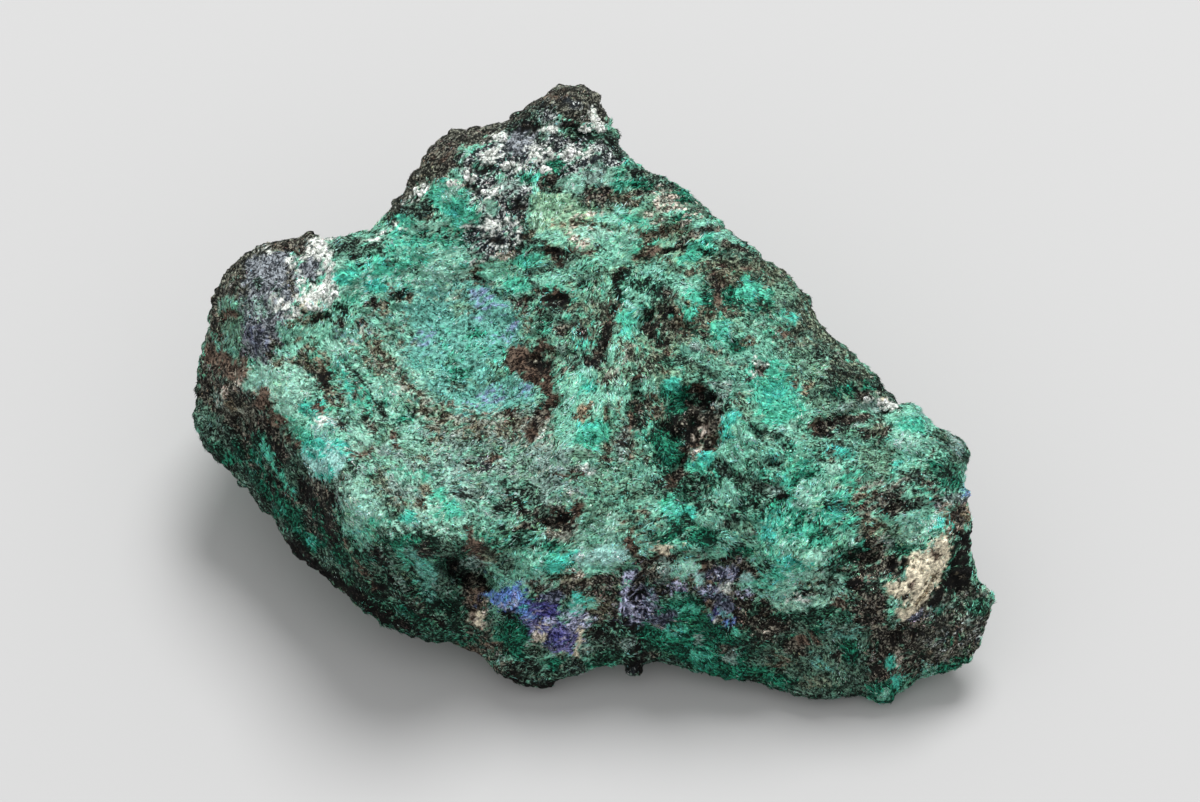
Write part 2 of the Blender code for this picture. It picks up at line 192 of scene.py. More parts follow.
GROUND = [
    field("dust", (-17, -1), (-12, -2), (-6, -2.4), (-2.4, -3.4), (-2, -8.6), (-6, -11), (-12, -9), (-17, -6),
        share=0.7, soft=1.4),
    field("sage", (-26, -2), (-15, 2), (-6, -1), (2, -2), (4, -8), (0, -14), (-12, -13), (-22, -10),
        share=0.55, soft=2),
    field("silver_mint", (-18, -3), (-9, -1.5), (-4, -3), (-3, -9), (-8, -12), (-16, -9), share=0.6,
        soft=1.6),
    field("moss", (20, 11), (26, 4), (31, -1), (26, -2), (21, 0), (19, 5), share=0.9, soft=1.5),
    field("moss", (9, 19), (14, 17), (20, 12), (19, 9), (13, 12), (7, 15), share=0.55, soft=1.2),
    field("sage", (5, 6), (10, 6), (10, 2), (5, 1), (0, 3), (1, 6), share=0.7, soft=1),
    field("mint", (16, 5), (21, 4), (20, -3), (15, -4), (13, 2), share=0.6, soft=1.2),
    field("deep", (6, -6), (16, -5), (19, -10), (14, -14), (7, -13), share=0.6, soft=1.6),
    field("bright", (18, -6), (25, -6), (26, -15), (19, -18), (16, -13), share=0.7, soft=1.4),
    field("moss", (-40, -1), (-31, 2), (-23, -8), (-12, -15), (-10, -26), (-26, -22), (-40, -6), share=0.9,
        soft=0.8),
    field("deep", (4, -20), (12, -20), (20, -20), (28, -20), (30, -30), (4, -28), share=0.9, soft=0.8),
]

LEFT_LOBE = [
    field("mint", (-27, 9.4), (-26.6, 14), (-20, 16.4), (-13, 16), (-13, 11.6), (-20, 8.4), share=0.55,
        soft=0.8),
    field("pale_mint", (-27, 1), (-20, 3), (-17.4, -2.6), (-14, -6.6), (-13.6, -13), (-22, -14), (-26, -11),
        share=0.5, soft=0.8),
    field("slate", (-35.9, 13.8), (-33.8, 15.2), (-31.5, 14.8), (-30.6, 13), (-30.4, 10.8), (-31.2, 9.2),
        (-32.4, 6.4), (-32.2, 4.6), (-33.8, 3.6), (-35.6, 5), (-36.2, 8.6), share=1.3),
    spot("black_green", -34.2, 11.7, 0.4, 0.5, share=0.7), spot("black_green", -32.4, 11, 0.5, share=0.7),
    veil("silver_mint", -34.4, 9.4, 1.6, 0.8, 20, 0.4), spot("black_brown", -32.6, 5.2, 0.6, 1.2),
    spot("blue_slate", -34.4, 6.2, 1, 1.6, share=0.45),
    field("sage", (-38.5, 10.4), (-36.2, 10.2), (-35.8, 6.9), (-36, 5.2), (-37.6, 5.6), (-38.2, 7.6)),
    spot("mint", -37.2, 9.6, 1, 0.7, share=0.5), spot("mint", -36.8, 6.4, 0.8, 0.8, share=0.6),
    spot("salt", -37.6, 11.2, 1, 0.4, 30), spot("umber", -37, 8.8, 0.7, 0.5),
    spot("black_brown", -38.3, 7.4, 0.5, 1.1),
    field("rim_grit", (-38.6, 12.8), (-37.2, 14), (-36, 14.2), (-35.6, 12.4), (-36, 10.4), (-38.2, 10.4)),
    streak("rim_grit", 1.9, (-37.4, 13), (-36.2, 14.4), (-34.4, 15.6), (-32, 16), (-30.4, 15.8),
        (-28.8, 16.5), share=1.2),
    spot("black_brown", -31, 15.2, 1.3, 0.5, -10, 0.9),
    streak("rim_grit", 1.1, (-39.2, 3.8), (-39, 7), (-38.6, 9.8), (-38.9, 12)),
    field("umber", (-39.5, 5.5), (-37.5, 4.8), (-35.6, 3.9), (-34.8, 2.2), (-36.4, 1.4), (-37.9, 2.6),
        (-39.5, 3.8), share=1.2),
    # White crust round a slate island and a green island.
    spot("white", -28.2, 15.1, 1.1, 1.3, -20), spot("white", -27.6, 16.1, 0.8, 0.5),
    streak("white", 0.8, (-30.9, 13.9), (-30, 13), (-29.7, 11.8)),
    field("white", (-29.8, 13.8), (-28, 14.2), (-26.9, 14.4), (-26.7, 12), (-26.9, 11.2), (-26.4, 10.6),
        (-26.8, 9.2), (-28.4, 9), (-30.2, 9.4), (-30.3, 10), (-29.6, 11.2), (-29.8, 12.4)),
    spot("slate", -28.9, 13.2, 0.9, 1), spot("black_green", -28.7, 12.1, 0.5, 0.8, 20),
    spot("mint", -29.6, 11.2, 0.5, 0.6), spot("cream", -29.2, 9.5, 0.9, 0.3, soft=0.3),
    spot("white", -31.2, 9.1, 0.7, 1, 60), spot("white", -32.9, 14.8, 0.6, 0.3, -30),
    spot("white", -34, 14.8, 0.3, 0.2),
    streak("black_brown", 0.5, (-31.2, 13.2), (-30.8, 11.2), (-30.3, 9.6), (-29.6, 8.7), share=0.9),
    spot("taupe", -28.1, 7.9, 1.2, 0.8), spot("pitch", -28, 8.3, 0.8, 0.4),
    spot("taupe", -30.8, 7.4, 0.9, 0.6), spot("mint", -29.3, 6.9, 1.7, 0.6, 10),
    spot("mint", -31.9, 7.4, 0.4), spot("taupe", -29.4, 5.8, 0.9, 0.4), spot("mint", -30.4, 5, 1.3, 0.5),
    spot("moss", -29.6, 4.5, 0.6),
    streak("taupe", 0.7, (-34, 2.6), (-32.4, 3.7), (-30, 4), (-28.6, 3), (-28.2, 2.2)),
    # The bump between the lobe and the peak.
    field("black_green", (-26.9, 16), (-25.2, 16.8), (-23.6, 16), (-21.6, 16.2), (-21.4, 14.6), (-22.6, 14.2),
        (-24.2, 14.6), (-25.8, 14.2), (-26.8, 15)),
    streak("moss", 0.5, (-25.4, 16.3), (-25.8, 14.8), share=0.7), spot("bright", -20.4, 15.2, 0.9, 0.6),
    spot("pitch", -24.6, 14.2, 0.5, 0.3), streak("white", 0.3, (-22.6, 16.2), (-21.6, 17)),
]

LEFT_FACE = [
    field("bright", (-26.6, 13.6), (-24, 14), (-20, 13.4), (-19, 11.6), (-22, 10), (-25.4, 9.8),
        (-26.6, 11.6)),
    field("mint", (-26.4, 13.6), (-24, 14.2), (-20, 13.8), (-17, 12.6), (-14, 12.4), (-14, 13.6), (-17, 15.6),
        (-19, 15.8), (-20.6, 14.6), share=0.8),
    field("mint", (-26.6, 13), (-14.2, 13.4), (-13.6, 12.2), (-18, 11.8), (-20, 10), (-24, 9.4),
        (-26.4, 11.2), share=0.6),
    spot("pale_mint", -16.6, 13.2, 1.3, 0.8),
    streak("black_green", 0.35, (-21.2, 13.9), (-20.4, 13.6), (-18.4, 13.2)),
    spot("taupe", -20.1, 10.6, 0.9, 0.5, -20), spot("pitch", -19.8, 10.6, 0.5, 0.3),
    spot("taupe", -21.9, 9.4, 0.7, 0.5), spot("deep", -25.9, 9.3, 0.5), spot("taupe", -21.7, 8.9, 0.4),
    spot("haze", -23.4, 7.2, 1, 0.7, share=0.36), spot("haze", -25.4, 6.4, 0.8, 0.4, share=0.24),
    streak("mint", 1.3, (-28.6, 5.6), (-26.4, 5), (-25.6, 3), (-25, 1), (-24.4, 0.2), share=0.9, soft=0.5),
    streak("turquoise", 0.7, (-26, 4.8), (-25.4, 2.4), (-24.8, 0.4), share=0.7),
    streak("taupe", 0.9, (-27.8, 3.8), (-27.4, 2), (-27, 0.6)),
    field("taupe", (-27.8, 2.6), (-26.4, 2.8), (-25.8, 1), (-25.6, -0.6), (-27.2, -1), (-27.8, 0.6),
        share=0.8),
    streak("dust", 1.7, (-22.6, 7.2), (-21.2, 4.8), (-19.8, 2.2), (-16.6, -0.6), (-12.6, -2.4), (-8.4, -2.9),
        (-5.4, -3), share=0.75, soft=0.7),
    streak("taupe", 0.7, (-22, 5.8), (-20.4, 3.6), (-19.6, 2.6), (-17.8, 2), share=0.7),
    veil("mint", -21, 0.2, 2.2, 1.6, 0, 0.6), spot("black_brown", -23.4, 0.3, 0.8, 0.4, -20),
    spot("black_brown", -23.3, -1.8, 0.45, 0.9), spot("emerald", -19.8, -1.7, 0.8, 0.4, 10),
    spot("deep", -21.9, -0.4, 0.4),
    # The pale crust on the brink, partly its own pale mint and partly painted highlight on the rounded brink,
    # and the brown stains on it.
    field("pale_mint", (-35.5, 1.2), (-33.8, 2.3), (-31.5, 3.4), (-30, 3.5), (-28.8, 2.2), (-29.4, 0.5),
        (-30, -0.8), (-31.5, -0.5), (-33, 0.8), (-34.2, 0.5), (-35, 0)),
    spot("umber", -33.8, 0.5, 1.2, 0.85, -35, 1.2), spot("turquoise", -29.4, -1.2, 2.1, 1.2, 15),
    field("mint", (-30.9, -2), (-28.9, -1.8), (-27.4, -2.6), (-26.4, -4), (-27.4, -4.6), (-29.4, -3.6),
        (-30.6, -3.2)),
    spot("white", -27.9, -2.1, 0.7, 0.3), spot("pale_turquoise", -28.4, -3.2, 1.6, 0.7, -20, 0.6),
    field("pale_turquoise", (-30, -5.5), (-28.8, -4), (-26.5, -3.9), (-25.3, -5.2), (-26, -7), (-27, -8),
        (-28.5, -6.8), (-29.7, -6.2)),
    spot("pale_turquoise", -27.6, -5.7, 2.1, 1.7, -35, 1.4), spot("turquoise", -25.9, -4.8, 0.9, 0.6, -50),
    spot("turquoise", -27.6, -7.4, 0.8, 0.4, -10), spot("umber", -30.4, -4.5, 0.8, 0.5),
    spot("taupe", -29.2, -6.6, 0.6, 0.4, -40), spot("mint", -24.4, -3.4, 1.4, 0.9, -20),
    spot("liver", -24.2, -4.9, 0.7, 0.4),
    field("pale_mint", (-25.5, -9), (-24.8, -7.8), (-23.5, -7.5), (-22.8, -9), (-21.5, -11.5), (-22.2, -12.9),
        (-23.5, -12.5), (-24.8, -10.8)),
    spot("sage", -22.2, -11.8, 0.6, 0.8, share=0.5),
    streak("taupe", 0.5, (-25.4, -6.6), (-25.8, -8.2), share=0.8),
    field("sage", (-23, -4.4), (-19, -4), (-18.6, -8), (-19.4, -11.4), (-21.2, -10.6), (-22.4, -7.4),
        share=0.7),
    veil("olive", -20.8, -8.4, 1.5, 1.2, 0, 0.6), spot("white", -20.7, -8.3, 0.8, 0.25, -35, 0.6),
    spot("taupe", -20, -10, 0.8, 0.5), spot("turquoise", -19.2, -11.5, 0.9, 0.7),
    spot("bright", -18.6, -7.2, 1.9, 0.4), spot("bright", -16.4, -9.5, 0.6, 0.5),
    spot("bright", -15, -10.9, 0.9, 0.5), spot("taupe", -18, -6, 0.8, 0.4),
    spot("taupe", -18.2, -10.2, 0.4, 1), spot("taupe", -17.6, -8.8, 0.5),
]

PEAK = [
    streak("rim_grit", 2.4, (-20.2, 18.8), (-18.8, 21), (-17.6, 24), (-17, 25.4), (-15, 26.6), (-12, 26.9),
        (-9.5, 27.2), (-8, 28.4), (-6.5, 29.6), (-4.5, 30.6), (-2.5, 31), (-0.8, 30), (0, 28.8)),
    field("rim_grit", (-17.4, 25), (-14.6, 26.4), (-14, 23.4), (-16.2, 22), (-18, 22.4), share=1.2),
    streak("rim_grit", 1.8, (-20.4, 19.4), (-18.6, 21.8), (-17.4, 24.6), (-16.6, 25.8), (-14.6, 27),
        (-12, 27.2), (-9.2, 27.9), share=1.3),
    spot("umber", -15.9, 24.2, 1, 1, share=0.35), spot("black_brown", -14.4, 24.6, 0.8, 1.4, share=0.9),
    field("black_green", (-8.2, 28), (-6, 29.4), (-4.4, 28.6), (-4, 26), (-4.4, 25), (-8, 26), (-9.2, 27)),
    field("rim_grit", (-5.4, 31.8), (-1, 32), (1.2, 29.6), (0.6, 27.8), (-3, 28), (-5.2, 29.2), share=1.3),
    spot("umber", -4.4, 30.4, 0.8, 0.4, share=0.35),
    streak("salt", 0.3, (-3.8, 30.2), (-2.2, 29.6), (-0.8, 28.4)), spot("salt", -5.4, 28.6, 0.8, 0.5),
    # The pitch in the band under the knob is painted shadow beneath it, over the hollows sunk there.
    spot("silver_mint", -5, 27.1, 0.8, 0.5), spot("pitch", -7.2, 27, 1.3, 0.8),
    spot("pitch", -2.7, 27.5, 0.9, 0.6), streak("pitch", 1, (-4.6, 26.1), (-1, 26.2), (1, 25.6)),
    field("salt", (-14, 24), (-12, 25.6), (-9.4, 26.2), (-7.6, 25.4), (-7, 21), (-7.4, 17.2), (-8.4, 15),
        (-11, 14.4), (-13, 15), (-13.6, 17), (-12.2, 18.6), (-13.2, 21)),
    field("salt", (-9, 26), (-4, 26.4), (1.4, 25.8), (2.6, 23.8), (0, 23), (-3.6, 22.8), (-8, 22.6),
        share=0.9),
    spot("slate", -7.8, 25.8, 1.2, 1.2, share=1.1), spot("pitch", -11.6, 23.4, 1.3, 0.8, share=0.8),
    spot("pitch", -8.2, 19.4, 1.2, 0.8, share=0.8), spot("white", -11.4, 20.2, 0.7, 0.4, 20, 0.9),
    streak("pitch", 0.5, (-12, 18), (-9.6, 17.8), (-7.6, 18)), spot("pitch", -10.5, 16.4, 1, 0.6, share=0.8),
    spot("pitch", -12.6, 21.2, 0.8, share=0.7), spot("white", -4.9, 27.1, 0.7, 0.5),
    spot("white", -10, 26.3, 0.6), spot("white", -10.8, 24.7, 0.8, 0.5, 30),
    spot("white", -9.3, 23.6, 0.8, 0.4, -20, 0.7), spot("white", -6, 24.8, 1.4, 0.9, soft=0.5),
    spot("white", -2.6, 24.8, 1.2, 0.6, share=0.7), spot("white", -13, 22.5, 0.7, 0.5, -30),
    spot("white", -1.4, 27.1, 0.7, 0.4, 30), streak("white", 0.5, (-0.8, 28.8), (-0.4, 27.6), (0.4, 27)),
    spot("white", -17.7, 20.9, 0.8, 0.6), spot("white", -19.4, 19.5, 0.7, 0.25, 30),
    spot("blush", -14.6, 21.8, 1, 0.35, -15), spot("white", -13.4, 17.6, 0.7, 0.5),
    spot("white", -10.8, 21, 1, 0.3, share=0.6), spot("white", -7.4, 20.4, 0.8, 0.6, share=0.5),
    spot("blush", -9.3, 14.7, 0.9, 0.4), spot("white", -12.7, 13.8, 0.5, 0.3),
    spot("white", -20, 17, 0.4, 0.6, share=0.7),
    field("bright", (-17.2, 20.5), (-16, 21.7), (-14.3, 21.6), (-14, 20), (-13.2, 18.6), (-14.4, 17.8),
        (-16, 19), (-17, 20)),
    spot("pale_mint", -15.4, 20.8, 0.7, 0.5), spot("turquoise", -14.6, 19, 0.8, 0.7),
    spot("pale_mint", -11.2, 19.2, 1, 0.7), spot("mint", -10.2, 22.3, 0.4, 0.3),
    spot("black_green", -18.6, 19, 1.4, 1), spot("black_green", -17, 16.6, 1.5, 0.8),
    spot("emerald", -14, 16.5, 0.7, 0.9, share=0.6), spot("black_green", -20, 18.4, 0.8, 0.6),
    spot("bright", -19, 17.8, 0.7, 0.6, 30), spot("black_green", -2, 26.8, 1.6, 0.5),
    spot("emerald", -1.4, 26.9, 0.6, 0.3), spot("bright", -6, 22.4, 0.6, 0.4),
    spot("emerald", -4.4, 23.5, 0.7, 0.5), spot("emerald", -7.6, 22.2, 0.5),
    spot("black_green", 1.4, 25.6, 1.3, 0.9, -40), spot("black_brown", -4.6, 21.4, 1.4, 1.2),
    spot("black_green", -3.2, 20.8, 2, 1, share=0.7), spot("pale_mint", -2.5, 21.6, 1.3, 0.8),
    spot("silver_mint", -0.2, 22.6, 1.2, 0.8), spot("pale_mint", 0.8, 22.4, 0.8, 0.5),
    spot("black_brown", 0, 20.6, 1.5, 1.1), spot("black_green", -0.4, 19, 1.8, 0.8, share=0.6),
]

UPPER_FACE = [
    streak("black_brown", 0.4, (-4, 17.6), (0, 16.9), (4, 16.1), (6, 16.5), (10, 17.9), (12, 18.4),
        share=0.9),
    streak("umber", 0.4, (10, 13.9), (13, 14.4), (16, 13.9), (18.6, 12.8), share=0.9),
    field("spring", (-6.6, 20.4), (-4, 20.6), (-1.6, 19.4), (0.6, 18.4), (0, 17.4), (-1, 17.2), (-2.2, 15.6),
        (-4.6, 15.6), (-6.4, 16.4), share=1.1),
    field("spring", (0, 19), (4, 19.4), (8, 18.6), (12, 17.4), (14, 15), (8, 12.4), (2, 13), (-2, 15),
        share=0.35, soft=0.8),
    field("spring", (2, 8), (9, 10), (13, 8), (10, 4), (4, 1), (0, 3), share=0.35, soft=0.8),
    spot("mint", -5, 16.4, 1.6, 0.5, -10), spot("moss", -7.2, 17, 0.7, 0.9),
    spot("taupe", -7, 16.4, 0.5, 0.4), spot("tan", -4.1, 17.8, 0.9, 0.3, -5),
    field("blush", (-3.4, 17.2), (-2, 17.9), (-0.8, 17.4), (0, 16.6), (-1, 15.8), (-2.8, 16)),
    spot("blush", -0.6, 18.5, 1.3, 0.35), streak("taupe", 0.5, (-2.4, 17.9), (0, 17.3), (2, 16.9), (4, 16.7)),
    spot("liver", 0, 17.2, 0.7, 0.5), spot("mint", 2, 18.4, 1.9, 0.7, 5),
    spot("bright", 3.6, 18.2, 1.4, 0.6, share=0.8), spot("pale_mint", 0.8, 16.6, 2.4, 0.4, -3),
    field("mint", (-0.4, 16), (3, 16.4), (5.4, 15.4), (4, 14.2), (1, 13.6), (-0.6, 14.6)),
    spot("bright", 4.4, 15.4, 1, 0.5), spot("taupe", 3, 20.4, 1.9, 0.9, share=0.9),
    spot("black_brown", 4.4, 21.4, 0.8, 1.2), spot("emerald", 1.8, 21.7, 0.6, 0.7),
    spot("bright", 1.8, 21.7, 0.4), spot("emerald", 4, 21.8, 0.8, 0.5),
    field("black_green", (2.6, 23.4), (5, 23), (8, 21.4), (7.6, 20.6), (5, 21.4), (3, 22.4)),
    spot("sage", 5, 19.6, 0.7, 1.1), spot("blush", 6.2, 19.6, 0.9, 1.2, 20),
    spot("dust", 6.7, 20.4, 0.8, 0.8), spot("dust", 6.2, 18.4, 0.5, 0.6), spot("umber", 7, 20.6, 0.4, 0.3),
    spot("blush", 5, 18.4, 0.4),
    field("emerald", (7.6, 21.3), (9, 20.8), (9.6, 19), (8.6, 18.4), (7.6, 19.4)),
    spot("moss", 9.8, 19, 1.4, 0.7, -30), spot("emerald", 8.2, 18.2, 0.9, 0.6),
    spot("mint", 10.5, 17.8, 1.1, 0.5), spot("sage", 7.4, 17, 1.4, 0.9),
    streak("taupe", 0.35, (4.2, 16.4), (6.4, 17.2), (8.8, 17.6)),
    streak("taupe", 0.3, (4, 15.8), (6.4, 16.6), (8.6, 17)),
    streak("black_brown", 0.6, (7.8, 15.8), (9.6, 16.8), (11.4, 17.1), (12.4, 17.2)),
    spot("silver_mint", 11.5, 16.4, 1.6, 0.4, -10), spot("bright", 11.5, 15.8, 1.5, 0.8, -10),
    spot("bright", 9.6, 15.2, 1, 0.6), spot("mint", 12.4, 16, 0.8, 0.7),
    streak("pitch", 0.5, (6.4, 14.9), (7.4, 15.2), (8.4, 15.3)),
    streak("pitch", 0.4, (9, 15.4), (10.2, 14.8), (12, 14.6), (13, 15.1), share=0.8),
    spot("taupe", 4.6, 15, 0.9, 0.4), streak("taupe", 0.5, (5, 14.2), (6.5, 13.8), (8.6, 13)),
    spot("bright", 9, 14.3, 1, 0.5), spot("moss", 13.5, 15, 1.6, 0.6, -20),
    streak("black_brown", 0.5, (12.4, 15.8), (14, 15.2), (15.6, 14.6)),
    streak("olive", 1.6, (10.2, 13), (13, 13.5), (15.5, 13.5), (17.6, 13), (18.8, 12), share=0.9),
    streak("umber", 0.5, (12, 13.4), (14.4, 13.5), (16.6, 13), (18.2, 12)),
    streak("moss", 0.6, (14, 14.6), (16, 14), (17.4, 13.6)),
    field("olive", (10.6, 13.4), (13.6, 13.2), (13.6, 11), (12.6, 9.2), (11, 9), share=0.9),
    streak("umber", 0.9, (11.4, 12.8), (12, 11.2), (11.8, 10), share=0.8),
    streak("black_brown", 0.4, (11.4, 12.4), (11.8, 11)),
    streak("olive", 1.2, (10, 8.6), (11.6, 8.8), (13.4, 9)),
    streak("umber", 0.5, (10.4, 8.8), (12, 8.6), (13, 9.2), share=0.8), spot("taupe", 13, 12.4, 1.2, 0.8),
    spot("emerald", 10.6, 10.2, 0.7, 1.1), spot("deep", 10.2, 11, 0.6),
    field("emerald", (13, 9.6), (14.6, 9.2), (17, 8.6), (17.6, 9.6), (16.6, 11), (14.4, 12), (12.6, 10.6),
        share=0.8),
    field("olive", (13.4, 12.6), (17, 13.2), (20, 10.4), (24.4, 4.4), (28, 0.8), (26, -0.6), (22.4, 3),
        (18.4, 8), (15.4, 8.4), share=0.5, soft=0.8),
    streak("olive", 1.3, (15.6, 13.8), (19.6, 10.6), (23.8, 4.8), (28, 0.8), share=0.8),
    field("black_green", (21, 6), (24.4, 3.4), (27.6, 0.8), (26, -0.4), (22, 2), share=0.6, soft=0.7),
    spot("umber", 18.6, 6.4, 1.2, 0.9, -40, 0.5),
    streak("bright", 1.1, (14.6, 12.2), (15.6, 11.6), (16.8, 10.2)),
    streak("bright", 0.8, (16.4, 11), (17.4, 9.6), (18, 8.8)), spot("bright", 14.6, 11, 1, 1),
    streak("emerald", 0.5, (16.8, 10), (17.4, 8.8)), spot("sage", 18.4, 10.6, 1.2, 1, -40),
    spot("turquoise", 19.2, 8.4, 0.3, 0.5), spot("moss", 18.4, 9.4, 0.9, 0.6),
    spot("bright", 11.6, 7, 1, 1.6, -20, 0.7),
    field("mint", (4, 13.2), (6, 13.8), (8.4, 12.8), (9.8, 12.6), (9.6, 10), (7, 9.2), (5.4, 10), (2.6, 9.6),
        (2.2, 11.4)),
    streak("mint", 1.6, (4.4, 12.2), (3.2, 10), (2.8, 7.6), (2.2, 6), (1.2, 4.4)),
    spot("bright", 2.4, 7.6, 0.9, 1.2), spot("bright", 9.2, 10, 0.9, 1.2, 30),
    spot("sage", 7.4, 13.2, 0.8, 0.3), spot("taupe", 9, 12.8, 0.8, 0.35),
]

